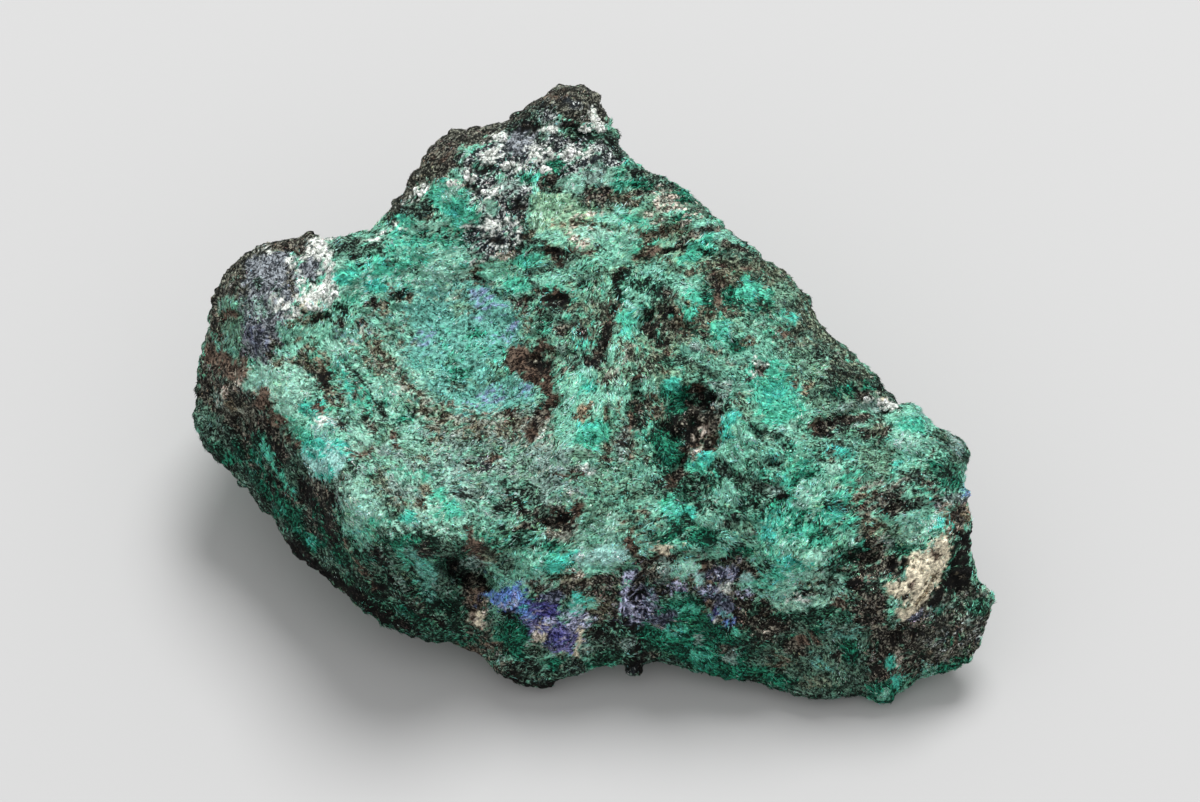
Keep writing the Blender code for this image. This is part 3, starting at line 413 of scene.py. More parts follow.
MIDDLE = [
    spot("liver", -4.7, 14.9, 1.1, 0.6, -25), spot("liver", -4, 14.1, 0.9, 0.7),
    spot("liver", -1.2, 15.1, 1, 0.35, 8), spot("liver", -2.6, 14.7, 0.6, 0.5),
    spot("moss", -3, 14.2, 1, 0.5, share=0.7), spot("pitch", -4.3, 15, 0.6, 0.3, -20),
    spot("pitch", -8.1, 15.6, 0.5, 0.9, 10), spot("black_green", -7, 15.4, 1, 0.9, share=0.8),
    spot("bright", -7.4, 13.8, 1.1, 0.7), spot("black_green", -6.9, 12.9, 1, 0.4),
    spot("black_green", -6.6, 11.4, 0.4, 0.6), spot("moss", -5.4, 13, 0.9, 0.5),
    spot("mint", -5, 12.2, 1.3, 0.6), spot("bright", -8.5, 11.6, 1.1, 0.9),
    spot("mint", -10.2, 12.8, 1.2, 0.9),
    field("taupe", (-14, 12.4), (-12.6, 13.6), (-11.6, 12.8), (-10.6, 11.2), (-9.2, 9.6), (-7.4, 9.4),
        (-8.4, 8.2), (-10.2, 9), (-12.2, 11.4), share=0.85),
    streak("black_brown", 0.7, (-14.6, 12.2), (-12.8, 12.5), (-11.6, 11.8), (-10.8, 10.8), share=0.9),
    streak("black_brown", 0.6, (-10.2, 10), (-8.6, 10), (-7.6, 9.4)),
    field("liver", (-7.4, 10.2), (-6, 10.8), (-4.4, 11.2), (-3, 10.4), (-3, 9), (-4.6, 9.4), (-6.6, 9.6)),
    spot("pitch", -4, 10, 1, 0.6), spot("pitch", -6, 10.2, 0.8, 0.3),
    spot("mint", -3, 12.2, 1.5, 0.9, share=0.6),
    field("sage", (-2.6, 12.6), (1, 13), (1, 8.4), (-2.8, 8.2), share=0.6),
    field("olive", (-2.8, 9.8), (0.6, 10), (0.4, 5.8), (-2, 4.6), (-3.8, 6.4), share=0.5),
    spot("deep", -1.6, 11.4, 0.6, 0.5, share=0.6),
    streak("umber", 1.2, (1.7, 12.2), (1.8, 10.6), (1.3, 9.2), (0.8, 7.6), (0.4, 5.6), (0.2, 3.8), share=0.7),
    streak("pitch", 0.5, (1.7, 12.4), (1.8, 10.4), (1.4, 9)),
    streak("pitch", 0.5, (0.5, 7.4), (0.3, 5.4), (0, 3.9)),
    streak("umber", 0.8, (1.6, 12.6), (3, 13), (4, 14), (6, 15), share=0.7),
    streak("black_brown", 0.4, (1.8, 12.6), (3, 13.2), share=0.9),
    # The smooth oval, and the blue haze in it.
    field("teal", (-20, 9), (-17, 11.2), (-13.5, 11.8), (-10, 10.8), (-8.6, 9), (-8.4, 6.5), (-8.8, 4.5),
        (-8, 2.4), (-7, 0.6), (-9, -1), (-12, -1.4), (-14.6, -0.8), (-16, 0.6), (-18, 2), (-20, 4.5),
        (-20.5, 6.5), soft=0.7),
    spot("haze", -12.1, 10.3, 1, 0.8, share=0.48, soft=0.6),
    spot("haze", -11, 9, 1.3, 1.3, share=0.33, soft=0.6), spot("haze", -17.7, 6.5, 0.9, 0.8, share=0.48),
    spot("haze", -9.5, 7, 0.9, 0.7, share=0.42, soft=0.5), spot("haze", -10.8, 1, 1.1, 0.5, 20, 0.48),
    spot("haze", -11.6, 0, 1.2, 0.4, share=0.42), spot("haze", -7.6, 1.2, 1, 0.5, share=0.3),
    spot("emerald", -14.6, 3, 1.2, 0.8, share=0.55, soft=0.6), spot("sage", -14, 9.4, 1, 0.7, share=0.5),
    spot("moss", -14, 1.4, 0.8, 0.5, share=0.6), spot("taupe", -13, 8.8, 0.8, 0.4, share=0.3),
    spot("emerald", -12.6, 6.8, 0.8, 0.5, share=0.6), spot("mint", -17.6, 2.6, 1, 0.5, share=0.6),
    veil("bright", -9.8, 4.4, 1.3, 1.1, 0, 0.45), veil("bright", -12.2, 5.4, 1.1, 0.6, 0, 0.4),
    veil("bright", -15.8, 5.8, 0.9, 0.6, 0, 0.4), spot("taupe", -15.4, 10.9, 1.6, 0.35, 10, 0.45, 0.7),
    veil("taupe", -19.6, 6.4, 0.5, 1.4, 20, 0.35), veil("sage", -11, 2.6, 1.3, 0.7, 0, 0.35),
    field("taupe", (-16, -0.6), (-12, -1.8), (-8, -1.8), (-7.4, -3.2), (-11, -3.8), (-15.6, -3), share=0.6,
        soft=0.7),
    streak("liver", 0.7, (-5.4, 1.4), (-4.6, 0.2), (-5.2, -1.4), (-6.8, -2.6), share=1.1),
    # Brown stains right of the oval.
    field("liver", (-9, 5), (-8, 5.8), (-7.2, 5.5), (-6.4, 6), (-5, 5.6), (-4.6, 4), (-5, 3), (-4.4, 1.6),
        (-5.6, 1.6), (-7, 2.2), (-8.8, 3)),
    spot("umber", -8, 4.2, 1, 1.1), spot("liver", -6.6, 3.6, 1.8, 1.4, -20, 1.1),
    spot("pitch", -6.2, 3.8, 1, 0.5, -20, 0.8), spot("sage", -4.4, 4.6, 0.7, 0.5),
    streak("umber", 0.5, (-5.8, 5.9), (-4.8, 5.5), (-4.6, 4.6)),
    streak("liver", 1, (-7.4, 2.6), (-6, 2), (-5.2, 1.2)),
    streak("liver", 1, (-3.6, 1.8), (-3.9, 0.4), (-5, -0.4), (-6, -1.2), (-6.6, -2)),
    spot("liver", -6.8, -3, 0.6, 0.95), spot("liver", -9.2, -1.3, 0.5, 0.35), spot("umber", -15, -0.3, 0.4),
    spot("black_brown", -6.2, -1.4, 0.6, 0.5), spot("deep", -5.2, 7.6, 0.9, 0.7),
    spot("bright", -5, 7.3, 0.5, 0.6), spot("black_brown", -4, 7.4, 0.8, 0.7),
    spot("silver_mint", -3.8, 5.2, 0.4, 0.9, 30), spot("moss", -3, 5, 1.2, 1.6, share=0.7),
    spot("bright", -2, 6.4, 0.6, 0.9),
    field("black_brown", (-1.2, 5.4), (0, 7.6), (0.8, 6.8), (0.4, 4.6), (0, 3.4), (-1.4, 3.8), share=0.6),
    spot("pitch", -0.6, 4, 0.7, 0.4), spot("black_brown", -5, 9, 1.4, 0.6, share=0.4),
    spot("taupe", -7, 8, 1, 0.8, share=0.5), streak("moss", 1.4, (-6, 8), (-3, 8.4), (-0.4, 8), share=0.5),
    spot("black_brown", -3.2, 2.8, 0.7, 0.9, share=0.7),
    # Tracks down the middle.
    spot("bright", -2, 1.6, 1.1, 1), spot("pale_mint", -3, 1.6, 0.5, 0.4),
    field("mint", (-4.2, 2), (-1, 3.2), (0.6, 2), (0.4, -1), (-1.6, -1.6), (-4, -0.4), share=0.7),
    spot("turquoise", -1.2, 1.2, 0.7, 0.5), streak("sage", 0.6, (3.2, 5.6), (2.2, 3.8), (1, 2.8), (0, 2.2)),
    streak("dust", 0.5, (3, 5.4), (2.2, 3.6), (0.8, 2.6)),
    field("olive", (2.2, 5.8), (5, 6.4), (7.6, 5.6), (8, 4.2), (5, 3), (3, 2.6), (2, 3.6), share=0.55,
        soft=0.7),
    spot("umber", 6.9, 4.8, 0.4, 0.3), streak("liver", 1, (3.9, 2.6), (3.7, 0.4), (3.4, -1.2), share=1.1),
    streak("umber", 0.8, (3, -2), (2.4, -4), (3.4, -5.6), share=0.8),
    spot("black_brown", 4.2, 3.4, 0.7, 0.5, share=0.7), spot("mint", 4.4, 1, 1.2, 1, share=0.6),
    streak("black_brown", 0.6, (0.2, 2), (1.8, 2.4), (2.2, 3)),
    streak("taupe", 0.6, (0.8, -0.6), (0.6, -2.6), (0.9, -4.4), (0.7, -5.8)),
    spot("liver", 0.7, -6, 0.4, 0.5), spot("mint", 1.8, 0.4, 0.9, 0.8), spot("silver_mint", 2, -4.6, 0.5, 1),
    spot("bright", -1, -3, 1.8, 1.2), spot("emerald", -1.2, -3.6, 0.5, 0.7, share=0.3),
    spot("turquoise", -2, -2.4, 1.6, 0.3, share=0.5), spot("mint", -3.4, -3, 1, 1.6, 20, 0.8),
    spot("white", -5.9, -3.3, 0.3, 0.4, share=0.4), spot("silver_mint", -1.4, -7, 0.8, 0.5),
    spot("white", -1.4, -6.9, 0.4, 0.25), streak("liver", 0.4, (-4.4, -7.3), (-2.6, -7.7), (-1.6, -7.4)),
    spot("tan", -1.8, -1.2, 1.2, 0.6, share=0.5), spot("black_brown", 2.8, -3.8, 0.9, 0.8, share=0.7),
    spot("black_brown", 3.6, -4.6, 1.2, 0.6, -25, 0.7), spot("taupe", 4.6, -5.2, 1.2, 0.5, share=0.6),
    # Brown maze above the pits.
    spot("black_green", 6.4, 10.8, 1.1, 0.6), spot("black_brown", 6.6, 11, 0.6, 0.3),
    streak("black_brown", 0.9, (6.6, 9.8), (5.4, 8.8), (4.6, 8), (4.6, 7), (5.6, 6.2), (6.8, 5.8),
        share=0.85),
    spot("pitch", 4.8, 8.6, 0.5, 0.4), streak("pitch", 0.5, (4.4, 7), (5.4, 6.4), (6.2, 5.8)),
    field("olive", (5.6, 9.4), (7, 10.2), (8, 9.6), (9.6, 8.4), (9.8, 6.6), (7.6, 5.6), (5.8, 6.6),
        share=0.95),
    spot("umber", 8.6, 7.6, 1.2, 1, share=0.6), spot("umber", 7.8, 9.4, 0.5, 0.4),
    spot("black_brown", 9.8, 7.2, 1, 0.6, -35), spot("deep", 9, 7.2, 0.7, 0.3),
    spot("bright", 8.4, 9, 0.8, 0.6), spot("deep", 7, 3.8, 0.5, 0.3), spot("emerald", 7, 1, 0.8, 0.8),
    spot("tan", 7, 2.6, 0.6, 0.8, share=0.5), streak("moss", 0.8, (8, 4.4), (10, 3.6), (11.4, 3)),
    streak("mint", 1.2, (8.6, 5), (10.4, 4.4), (12, 3.8), share=0.8),
    spot("mint", 13.6, 4.8, 2.2, 1, -10, 0.7), spot("silver_mint", 9.6, 5.4, 0.7, 0.4),
    spot("emerald", 13.6, 5.6, 0.9, 0.7), spot("taupe", 15, 5.8, 1, 0.5, share=0.6),
    spot("taupe", 11.4, 4.6, 0.8, 0.4, share=0.6),
]

PITS = [
    field("pitch", (7.8, 0.4), (9, 1.6), (10.2, 2.2), (11, 1), (12.4, 0), (12.6, -1.6), (12.2, -4.2),
        (10.8, -5.6), (9, -5.6), (8, -4.2), (7, -3), (6, -1.9), (7.6, -1.4), share=1),
    streak("pitch", 1.1, (5.9, -2.2), (6.8, -2.8), (7.8, -3.8)),
    streak("liver", 1.1, (9, -5), (8.2, -6.2), (7.6, -7.4), (7.2, -8.6)),
    spot("black_brown", 9.2, -1.2, 1.1, 0.8), spot("rim_grit", 8.2, -2.4, 0.5, 0.5),
    spot("rim_grit", 10.8, -1.2, 1.1, 0.8, share=0.9), spot("taupe", 11.2, -3.2, 0.9, 1, share=0.9),
    spot("blush", 10.9, -2.2, 0.5, 0.2, 20), spot("blush", 10, -3.8, 0.3, 0.15),
    spot("umber", 11.2, -2.6, 0.7, 0.7, share=0.7), spot("blush", 10.4, -3.2, 0.2, 0.15),
    spot("umber", 10.8, -4.4, 0.9, 0.5), spot("blush", 9.5, -5.3, 0.4, 0.25),
    streak("black_brown", 1, (9.2, -5.6), (8.2, -6.8), (7.2, -8.8), share=0.8),
    spot("liver", 8.4, -4.8, 0.7, 0.5), spot("liver", 7.2, -8.4, 0.6, 0.5), spot("liver", 9.6, 1.2, 0.8, 0.6),
    field("emerald", (5, -2.6), (6.4, -3), (7.8, -4.4), (7.8, -6), (6.6, -6.6), (5.4, -5), (4.6, -3.6)),
    spot("emerald", 8, 0.8, 0.7, 1), spot("turquoise", 7.4, 1.6, 0.7, 0.6),
    spot("emerald", 7.6, -0.8, 0.9, 0.6), spot("deep", 5.8, -1.6, 1, 0.6),
    spot("turquoise", 13, -2.6, 0.8, 1.4, -20), spot("mint", 14.4, -3, 1.2, 0.8),
    spot("bright", 9.6, -6.8, 1.2, 0.7, -20), spot("turquoise", 10.6, -5.8, 0.9, 0.5),
    spot("silver_mint", 11.6, -0.6, 0.6, 0.3, 20), spot("sage", 14.6, -0.8, 0.6, 1.2),
    spot("silver_mint", 12.2, 1.4, 1.2, 0.8, share=0.7),
    field("pale_mint", (15, 4.6), (19, 4.4), (20, 1.6), (20, -1.4), (19, -3), (16.6, -2.6), (15, 0),
        (14.6, 2.6), share=0.25),
    field("bright", (15.6, 4.2), (19, 4), (20, 1.6), (20, -1.2), (18.8, -2.6), (16.6, -2), (15.4, 0),
        (14.8, 2.6), share=0.85),
    spot("turquoise", 17, 0.6, 1.6, 1.2, share=0.5), spot("tan", 20.6, 1.4, 0.6, 0.8, share=0.7),
    spot("liver", 16.2, 3.2, 0.6, 0.45), streak("black_brown", 0.4, (14.6, 2.2), (15.6, 2.8), (16.6, 3.6)),
    spot("white", 15.7, 2.8, 0.5, 0.25, 20), spot("white", 15.9, 3.9, 0.4, 0.2), spot("umber", 19.6, 2, 0.3),
    streak("deep", 0.7, (15.2, -2.4), (16, -3.4), (17.8, -3.6), (19, -4.8)), spot("moss", 16.6, -3.6, 1, 0.4),
    spot("black_green", 17.1, -6.2, 0.8, 0.6),
    streak("black_green", 0.8, (12, -6), (12.6, -7.4), (14.4, -8), (16, -8.6)),
    spot("black_green", 16.6, -9, 1.5, 0.9), spot("black_green", 9.6, -8.6, 1.4, 1.2, share=0.8),
    spot("black_green", 10.4, -10.6, 0.9, 1.1, share=0.8), spot("silver_mint", 17.4, -8.8, 0.4, 0.6),
    spot("deep", 8.2, -9.6, 0.8, 1.3),
    streak("pitch", 0.5, (15.2, -10.4), (16, -10.8), (17.6, -9.8), (18.6, -9.8)),
    spot("mint", 12.6, -9.6, 1.2, 1.2, share=0.6), spot("mint", 13.6, -5, 1.8, 1, share=0.6),
    spot("turquoise", 8, -11.6, 1.4, 1.2), spot("bright", 7.2, -10.6, 1, 1), spot("mint", 11, -12, 1.5, 0.7),
    spot("emerald", 10, -13.6, 1.2, 0.8), spot("black_green", 13.4, -12.2, 1.6, 0.5),
    spot("black_green", 14.4, -14.6, 1.4, 0.7), spot("liver", 15.4, -13.2, 0.35),
    spot("sage", 14.4, -13, 1, 0.7), spot("emerald", 14.4, -15, 1.2, 0.5),
]

RIGHT = [
    spot("white", 28.5, -0.5, 0.9, 0.7, -10), spot("white", 26.8, 0.1, 0.7, 0.25),
    streak("pitch", 0.5, (27, -0.5), (28.2, -1.3), (29.6, -1)), spot("cream", 28.3, 0.1, 0.3),
    spot("black_brown", 26, 0.6, 0.9, 0.5), spot("black_green", 24.6, 0.4, 1.2, 0.9),
    spot("emerald", 24.5, 1, 0.9, 0.7), spot("emerald", 27, 1.6, 0.6, 0.5),
    spot("black_green", 28.6, 1.2, 1.4, 0.7, -40), spot("black_green", 24, -1.9, 1.3, 0.9),
    spot("silver_mint", 25.8, -1.8, 0.6, 0.8), spot("mint", 26.2, -1.5, 1.1, 0.6),
    spot("black_brown", 22.4, -2.9, 1.1, 0.8), spot("liver", 21.8, -2.6, 0.8, 0.6),
    field("mint", (28.2, -2.5), (30, -0.7), (32.4, -0.3), (34, -2), (33.6, -4), (31.6, -5), (29.4, -4)),
    spot("bright", 31.4, -2.6, 1.4, 0.8, -10), spot("pale_mint", 30.6, -4.8, 2.2, 1.2, -20, 0.7),
    streak("black_brown", 0.9, (26.4, -3.2), (27.6, -3.4), (28.6, -2.9)), spot("olive", 27.8, -2.8, 0.4, 0.6),
    spot("mint", 24.4, -5.2, 2, 1.2, 20), spot("turquoise", 24.2, -5.2, 1.2, 0.6),
    spot("umber", 23.1, -5.8, 0.6, 0.35, 20),
    field("sage", (26, -4.6), (29.4, -4.8), (30.4, -6.2), (28.4, -7.4), (26, -6.4), share=0.8),
    spot("black_brown", 29.6, -5.2, 0.9, 0.4), spot("mint", 30.2, -6.2, 0.9, 0.9),
    spot("turquoise", 29.9, -6.4, 0.4), spot("black_brown", 32.2, -5.6, 1.1, 0.5, 10),
    spot("taupe", 33.6, -3.6, 0.8, 0.6),
    field("moss", (34.4, -2.8), (36, -3.4), (37, -5.4), (36.6, -6.6), (34.8, -6.2), (33.6, -4.6)),
    spot("silver_mint", 35.4, -4.4, 0.7, 1, 30, 0.5),
    field("emerald", (32.5, -6), (35.5, -6.2), (36.5, -8), (35.5, -9.2), (33.5, -8)),
    spot("deep", 34.6, -7, 1.2, 0.8), spot("black_green", 31.4, -7.4, 1.1, 0.6),
    spot("mint", 36.6, -7.6, 0.5, 0.8), spot("mint", 36.6, -9.2, 0.4),
    streak("slate", 0.9, (33.8, -10.4), (34.8, -9.9), (36.6, -9.6)),
    streak("silver_mint", 0.4, (33.6, -10.8), (34.6, -10.2), (35.6, -9.8), (36.4, -9.5), share=0.8),
    spot("azure", 36.5, -9.3, 0.3, 0.4, share=0.45), spot("blush", 34.3, -10.8, 0.5, 0.2, 20),
    spot("tan", 35, -12.2, 0.5, 0.8, 30), spot("blush", 35.3, -12.8, 0.4, 0.6),
    spot("umber", 35.5, -11.4, 0.7, 0.6), spot("black_brown", 36.4, -11.4, 0.8, 1.2),
    spot("tan", 36.8, -11.2, 0.3, 0.6),
    field("black_green", (28, -8.6), (30, -8.2), (32, -9.2), (32, -10.6), (30.4, -12), (28.4, -11),
        (27, -9.8)),
    spot("black_brown", 29.2, -10.4, 1.4, 0.9), spot("mint", 30.8, -9.2, 0.4),
    spot("mint", 31.4, -11.6, 1.6, 0.6), spot("turquoise", 33.4, -12.2, 1.4, 0.7, -10),
    spot("mint", 30.8, -12.4, 0.9, 0.9), spot("umber", 23, -8.7, 0.7, 0.4),
    spot("black_brown", 24, -10.4, 0.6, 0.5), spot("black_brown", 26, -10.8, 1.3, 0.7),
    spot("deep", 23, -10.2, 0.8, 0.6), spot("bright", 25, -9.8, 1.2, 0.6),
    spot("emerald", 20.4, -8, 1.4, 0.9, 20), spot("pale_mint", 23.4, -6.8, 0.9, 0.6),
    spot("taupe", 26.4, -9.4, 1.2, 0.6, share=0.7),
    field("sage", (27.6, -12.4), (30.2, -12.4), (30.6, -14.8), (28.4, -15), (27, -14)),
    spot("taupe", 27, -12.6, 1.4, 0.7, share=0.7), spot("emerald", 30.4, -14.8, 0.9, 0.6),
    spot("silver_mint", 28, -14.2, 0.5, 0.2),
    field("black_brown", (23.6, -16), (25, -14), (27, -13.4), (28.4, -15), (30.6, -16), (29.8, -17.4),
        (27, -17.4), (25, -17.4)),
    spot("pitch", 26, -15.4, 1.4, 0.8), spot("pitch", 29.4, -16.4, 1, 0.6),
    spot("mint", 27.4, -16.4, 0.4, 0.2), spot("bright", 26.2, -14.4, 0.4, 0.3, 30),
    field("emerald", (20, -11.6), (22.8, -11.4), (23.4, -13.6), (21.4, -14.4), (19.6, -13.4), share=0.6),
    spot("turquoise", 23, -11.4, 1.2, 0.8, share=0.6), spot("pale_mint", 21.2, -15.6, 1.5, 0.9, 10),
    spot("mint", 18.6, -13.8, 1.2, 2.2, 10), spot("turquoise", 17, -12, 1, 1.6, -15, 0.8),
    spot("emerald", 17.8, -11, 1.4, 1, share=0.4), spot("pale_mint", 20.6, -10.2, 1.2, 1.8, 10, 0.8),
    spot("mint", 22, -8.6, 1.8, 1.2, 20, 0.7), spot("bright", 19, -12.6, 1.2, 1.4, share=0.7),
    spot("pale_mint", 19.8, -9.6, 0.7, 1.2, share=0.5), spot("mint", 24.6, -14, 0.8, 1.2, -20),
    spot("turquoise", 19.6, -16.4, 1.8, 0.7, share=0.6), spot("black_green", 23, -17.2, 1.6, 0.6),
    field("pale_mint", (16.4, -17.4), (20, -17.2), (24, -17.2), (24.4, -19.2), (22.4, -20.4), (18.4, -20.8),
        (16.4, -20), share=1.15),
    spot("white", 19.6, -19.6, 0.9, 0.4), spot("moss", 21, -18.6, 0.8, 0.3, share=0.6),
    spot("emerald", 17.8, -18.8, 0.6, 0.4, share=0.6), spot("umber", 24, -20, 0.8, 0.8),
    streak("taupe", 0.5, (17.6, -18.2), (20, -18), (23, -18.2), share=0.8),
    field("moss", (24.6, -18), (28.4, -17.6), (28.6, -20), (25.4, -21)),
    spot("black_brown", 27, -22, 1.8, 2.4),
    # The end wall.
    field("pitch", (34, -14.5), (36.8, -13), (37.4, -18), (35.6, -19.6), (33, -21), (32.4, -20), (33.8, -17)),
    field("black_brown", (30, -21.6), (33.4, -20.4), (36, -19.4), (39, -19.6), (39.4, -22), (36, -26),
        (32, -27), (28, -29), (26, -27), (28, -23)),
    field("rim_grit", (33, -19.6), (36.8, -18.2), (39, -19.4), (39, -22.4), (37.6, -25.4), (34, -26.6),
        (31.6, -27.4), (32.4, -23)),
    spot("emerald", 34.4, -20.6, 0.8, 0.7, share=0.5), spot("emerald", 34.8, -23.6, 0.7, 0.5, share=0.5),
    spot("moss", 36, -20.6, 1.8, 1, share=0.5),
    field("salt", (34.4, -19.2), (38.4, -19.4), (38.6, -22.6), (36.6, -25), (33.4, -25), share=0.25,
        soft=0.8),
    spot("silver_mint", 36.6, -22, 0.6, 0.4, 40, 0.4), spot("umber", 36.4, -23.4, 1.2, 1, share=0.5),
    spot("silver_mint", 33.6, -20.9, 0.8, 0.2, 10, 0.4), spot("blue_slate", 31.8, -21.4, 0.7, 0.6),
    spot("emerald", 35, -26.6, 1.2, 0.4, 10), spot("deep", 37.6, -20.6, 1, 0.8),
    spot("tan", 32.8, -25.4, 0.25, 0.3), spot("blush", 29.6, -25.6, 0.3, 0.5),
    spot("turquoise", 29, -26, 0.4, 0.5), spot("turquoise", 29.6, -28, 0.35, 0.8),
    spot("emerald", 28, -28.8, 1.4, 0.7), spot("emerald", 28.6, -30, 0.8, 0.7),
    spot("mint", 28.4, -29.4, 0.3),
    field("pitch", (35.4, -13), (37, -13.4), (37.2, -17.4), (35.4, -19.4), (33.2, -20.6), (34.2, -17),
        share=0.9),
    field("cream", (34.4, -13.5), (35.3, -14.6), (34.4, -16.6), (33.8, -17.9), (32.7, -19.6), (31.6, -20.9),
        (30, -22), (29.7, -21.5), (30.4, -19.9), (29.2, -19.7), (28.4, -18.8), (29.4, -18.2), (30.6, -17.8),
        (30.9, -16.2), (32, -14.8), (33.2, -14.1), share=1.35, soft=0.2),
    spot("umber", 31.3, -18.5, 0.25, 0.3), streak("black_brown", 0.3, (30.6, -19.8), (31.2, -19.2)),
    streak("umber", 0.25, (33.2, -14.8), (34, -15.4)), spot("umber", 32.2, -16, 0.15),
    spot("taupe", 31.6, -19.8, 0.2), spot("sage", 30.2, -20.2, 0.3, 0.3), spot("umber", 33.6, -15.6, 0.2),
    streak("tan", 0.35, (31, -21), (32.8, -18.8), (33.8, -16.8), share=0.6),
]

WALL = [
    field("black_green", (-41, 2), (-38, 2.4), (-36, 0.8), (-33.4, -1), (-31.2, -4), (-29, -7), (-26.4, -10),
        (-26, -14), (-30, -16), (-34, -11), (-40, -5)),
    streak("black_brown", 1.6, (-36.8, 1), (-34.2, -2), (-32.2, -5), (-30.4, -7.2), (-27.8, -9),
        (-26.4, -12.4), (-25.8, -14.4)),
    field("black_brown", (-39.6, 4), (-38.2, 2.6), (-37, 0.6), (-35, -0.8), (-33, -2.6), (-32.4, -4),
        (-35, -4), (-38, -2), (-40, 1)),
    spot("moss", -40.4, -1.6, 0.6, 0.6), spot("moss", -39, -1.6, 1, 0.6, -40),
    spot("silver_mint", -38.2, 0.2, 0.4, 0.8, 40, 0.6),
    streak("deep", 1.2, (-38.8, -4.4), (-37, -6), (-35.4, -7)), spot("emerald", -35.4, -4.4, 1.1, 0.8),
    spot("emerald", -37, -5.8, 0.8, 0.5), spot("deep", -34, -4, 1.2, 0.8),
    streak("deep", 1, (-35.6, -4), (-34.8, -6.4), (-33.6, -9)),
    streak("emerald", 0.6, (-34, -7.4), (-33.2, -9.6)),
    streak("pitch", 1, (-33, -3.4), (-32.4, -5.6), (-32.4, -9), (-31.4, -11), share=0.6),
    spot("moss", -30.2, -7.2, 1.2, 1.6, 30),
    field("emerald", (-32.6, -9.6), (-30.4, -10), (-29.6, -12), (-31, -13.2), (-32.6, -11.6)),
    spot("turquoise", -31.5, -10.7, 0.35, 0.3, share=0.7), spot("emerald", -29.6, -13.4, 1.9, 0.7, -30),
    spot("turquoise", -29.4, -13.6, 0.8, 0.25, -30, 0.4),
    field("black_brown", (-30, -7.8), (-27.8, -8), (-26.6, -9.4), (-26.4, -12), (-27, -14), (-29, -13),
        (-29.6, -10.4), share=0.8),
    spot("pitch", -27, -10.6, 0.7, 1.2, -20), spot("pitch", -29.8, -15.2, 1.6, 0.6, -35),
    field("deep", (-26.4, -11), (-25, -10.6), (-23.6, -12.8), (-22.6, -16), (-24, -18), (-26.6, -15)),
    spot("mint", -25, -12.2, 1, 1.8, 30, 0.6), spot("moss", -22.6, -14.4, 1.4, 1.2),
    field("deep", (-22, -13.4), (-17, -13.2), (-12, -15), (-11.6, -22), (-14, -25), (-22, -23.6), (-26, -18),
        share=0.85),
    spot("black_brown", -18, -15, 1.1, 1.1), spot("teal", -17.4, -18, 1.1, 1.2, share=0.6),
    spot("pitch", -18.8, -18.6, 0.8, 1, share=0.6), spot("moss", -15, -18.4, 1.6, 1.4, share=0.7),
    streak("emerald", 0.6, (-20, -20.6), (-18.4, -21.4), (-17, -21.8)),
    streak("pitch", 0.9, (-31, -14.6), (-28, -17), (-25, -19), (-22, -21.2), (-18, -23.4), share=0.85),
    streak("moss", 1, (-24, -16.6), (-20, -19.6), (-16, -22), share=0.5), spot("moss", -15.4, -14.6, 1, 0.9),
    spot("emerald", -19.8, -14.2, 1.4, 0.6),
    streak("black_brown", 0.9, (-37.4, -1), (-35.6, -4), (-33.4, -7.6), (-30.6, -10.4), share=0.8),
    streak("bright", 0.5, (-34.6, -2.8), (-32.6, -6.4), (-30.8, -9.4), share=0.5),
    streak("black_green", 0.9, (-36.8, -6.6), (-34, -10.4), (-31, -13.6), share=0.8),
    streak("emerald", 0.8, (-28.4, -10), (-27.6, -13), (-26, -16), share=0.6),
    streak("rim_grit", 0.8, (-24, -14), (-21.4, -17.6), (-17.6, -20.4), share=0.5),
    # Under the ledge: the pitch mark is painted shade beneath it.
    field("pitch", (-15.8, -15.6), (-14.2, -15.8), (-13.5, -17), (-12, -17.5), (-10.8, -18.5), (-11.2, -19.2),
        (-12.5, -18), (-13.8, -18.2), (-15, -17.2)),
    spot("umber", -12.6, -14.6, 1, 0.7), spot("umber", -12.9, -13.2, 0.5, 0.6),
    spot("liver", -12.2, -15.6, 0.8, 0.7), spot("silver_mint", -12.8, -16.4, 0.8, 0.5),
    spot("black_brown", -12.8, -19.6, 0.9, 1.8), spot("umber", -12.2, -18.9, 0.7, 0.6),
    spot("umber", -12.4, -20.6, 0.6, 1.2, share=0.9), spot("blush", -11.7, -21.4, 0.3, 0.7, -10),
    spot("cream", -12.1, -21.8, 0.2, 0.3), spot("emerald", -13, -24, 1.4, 0.8, share=0.7),
]

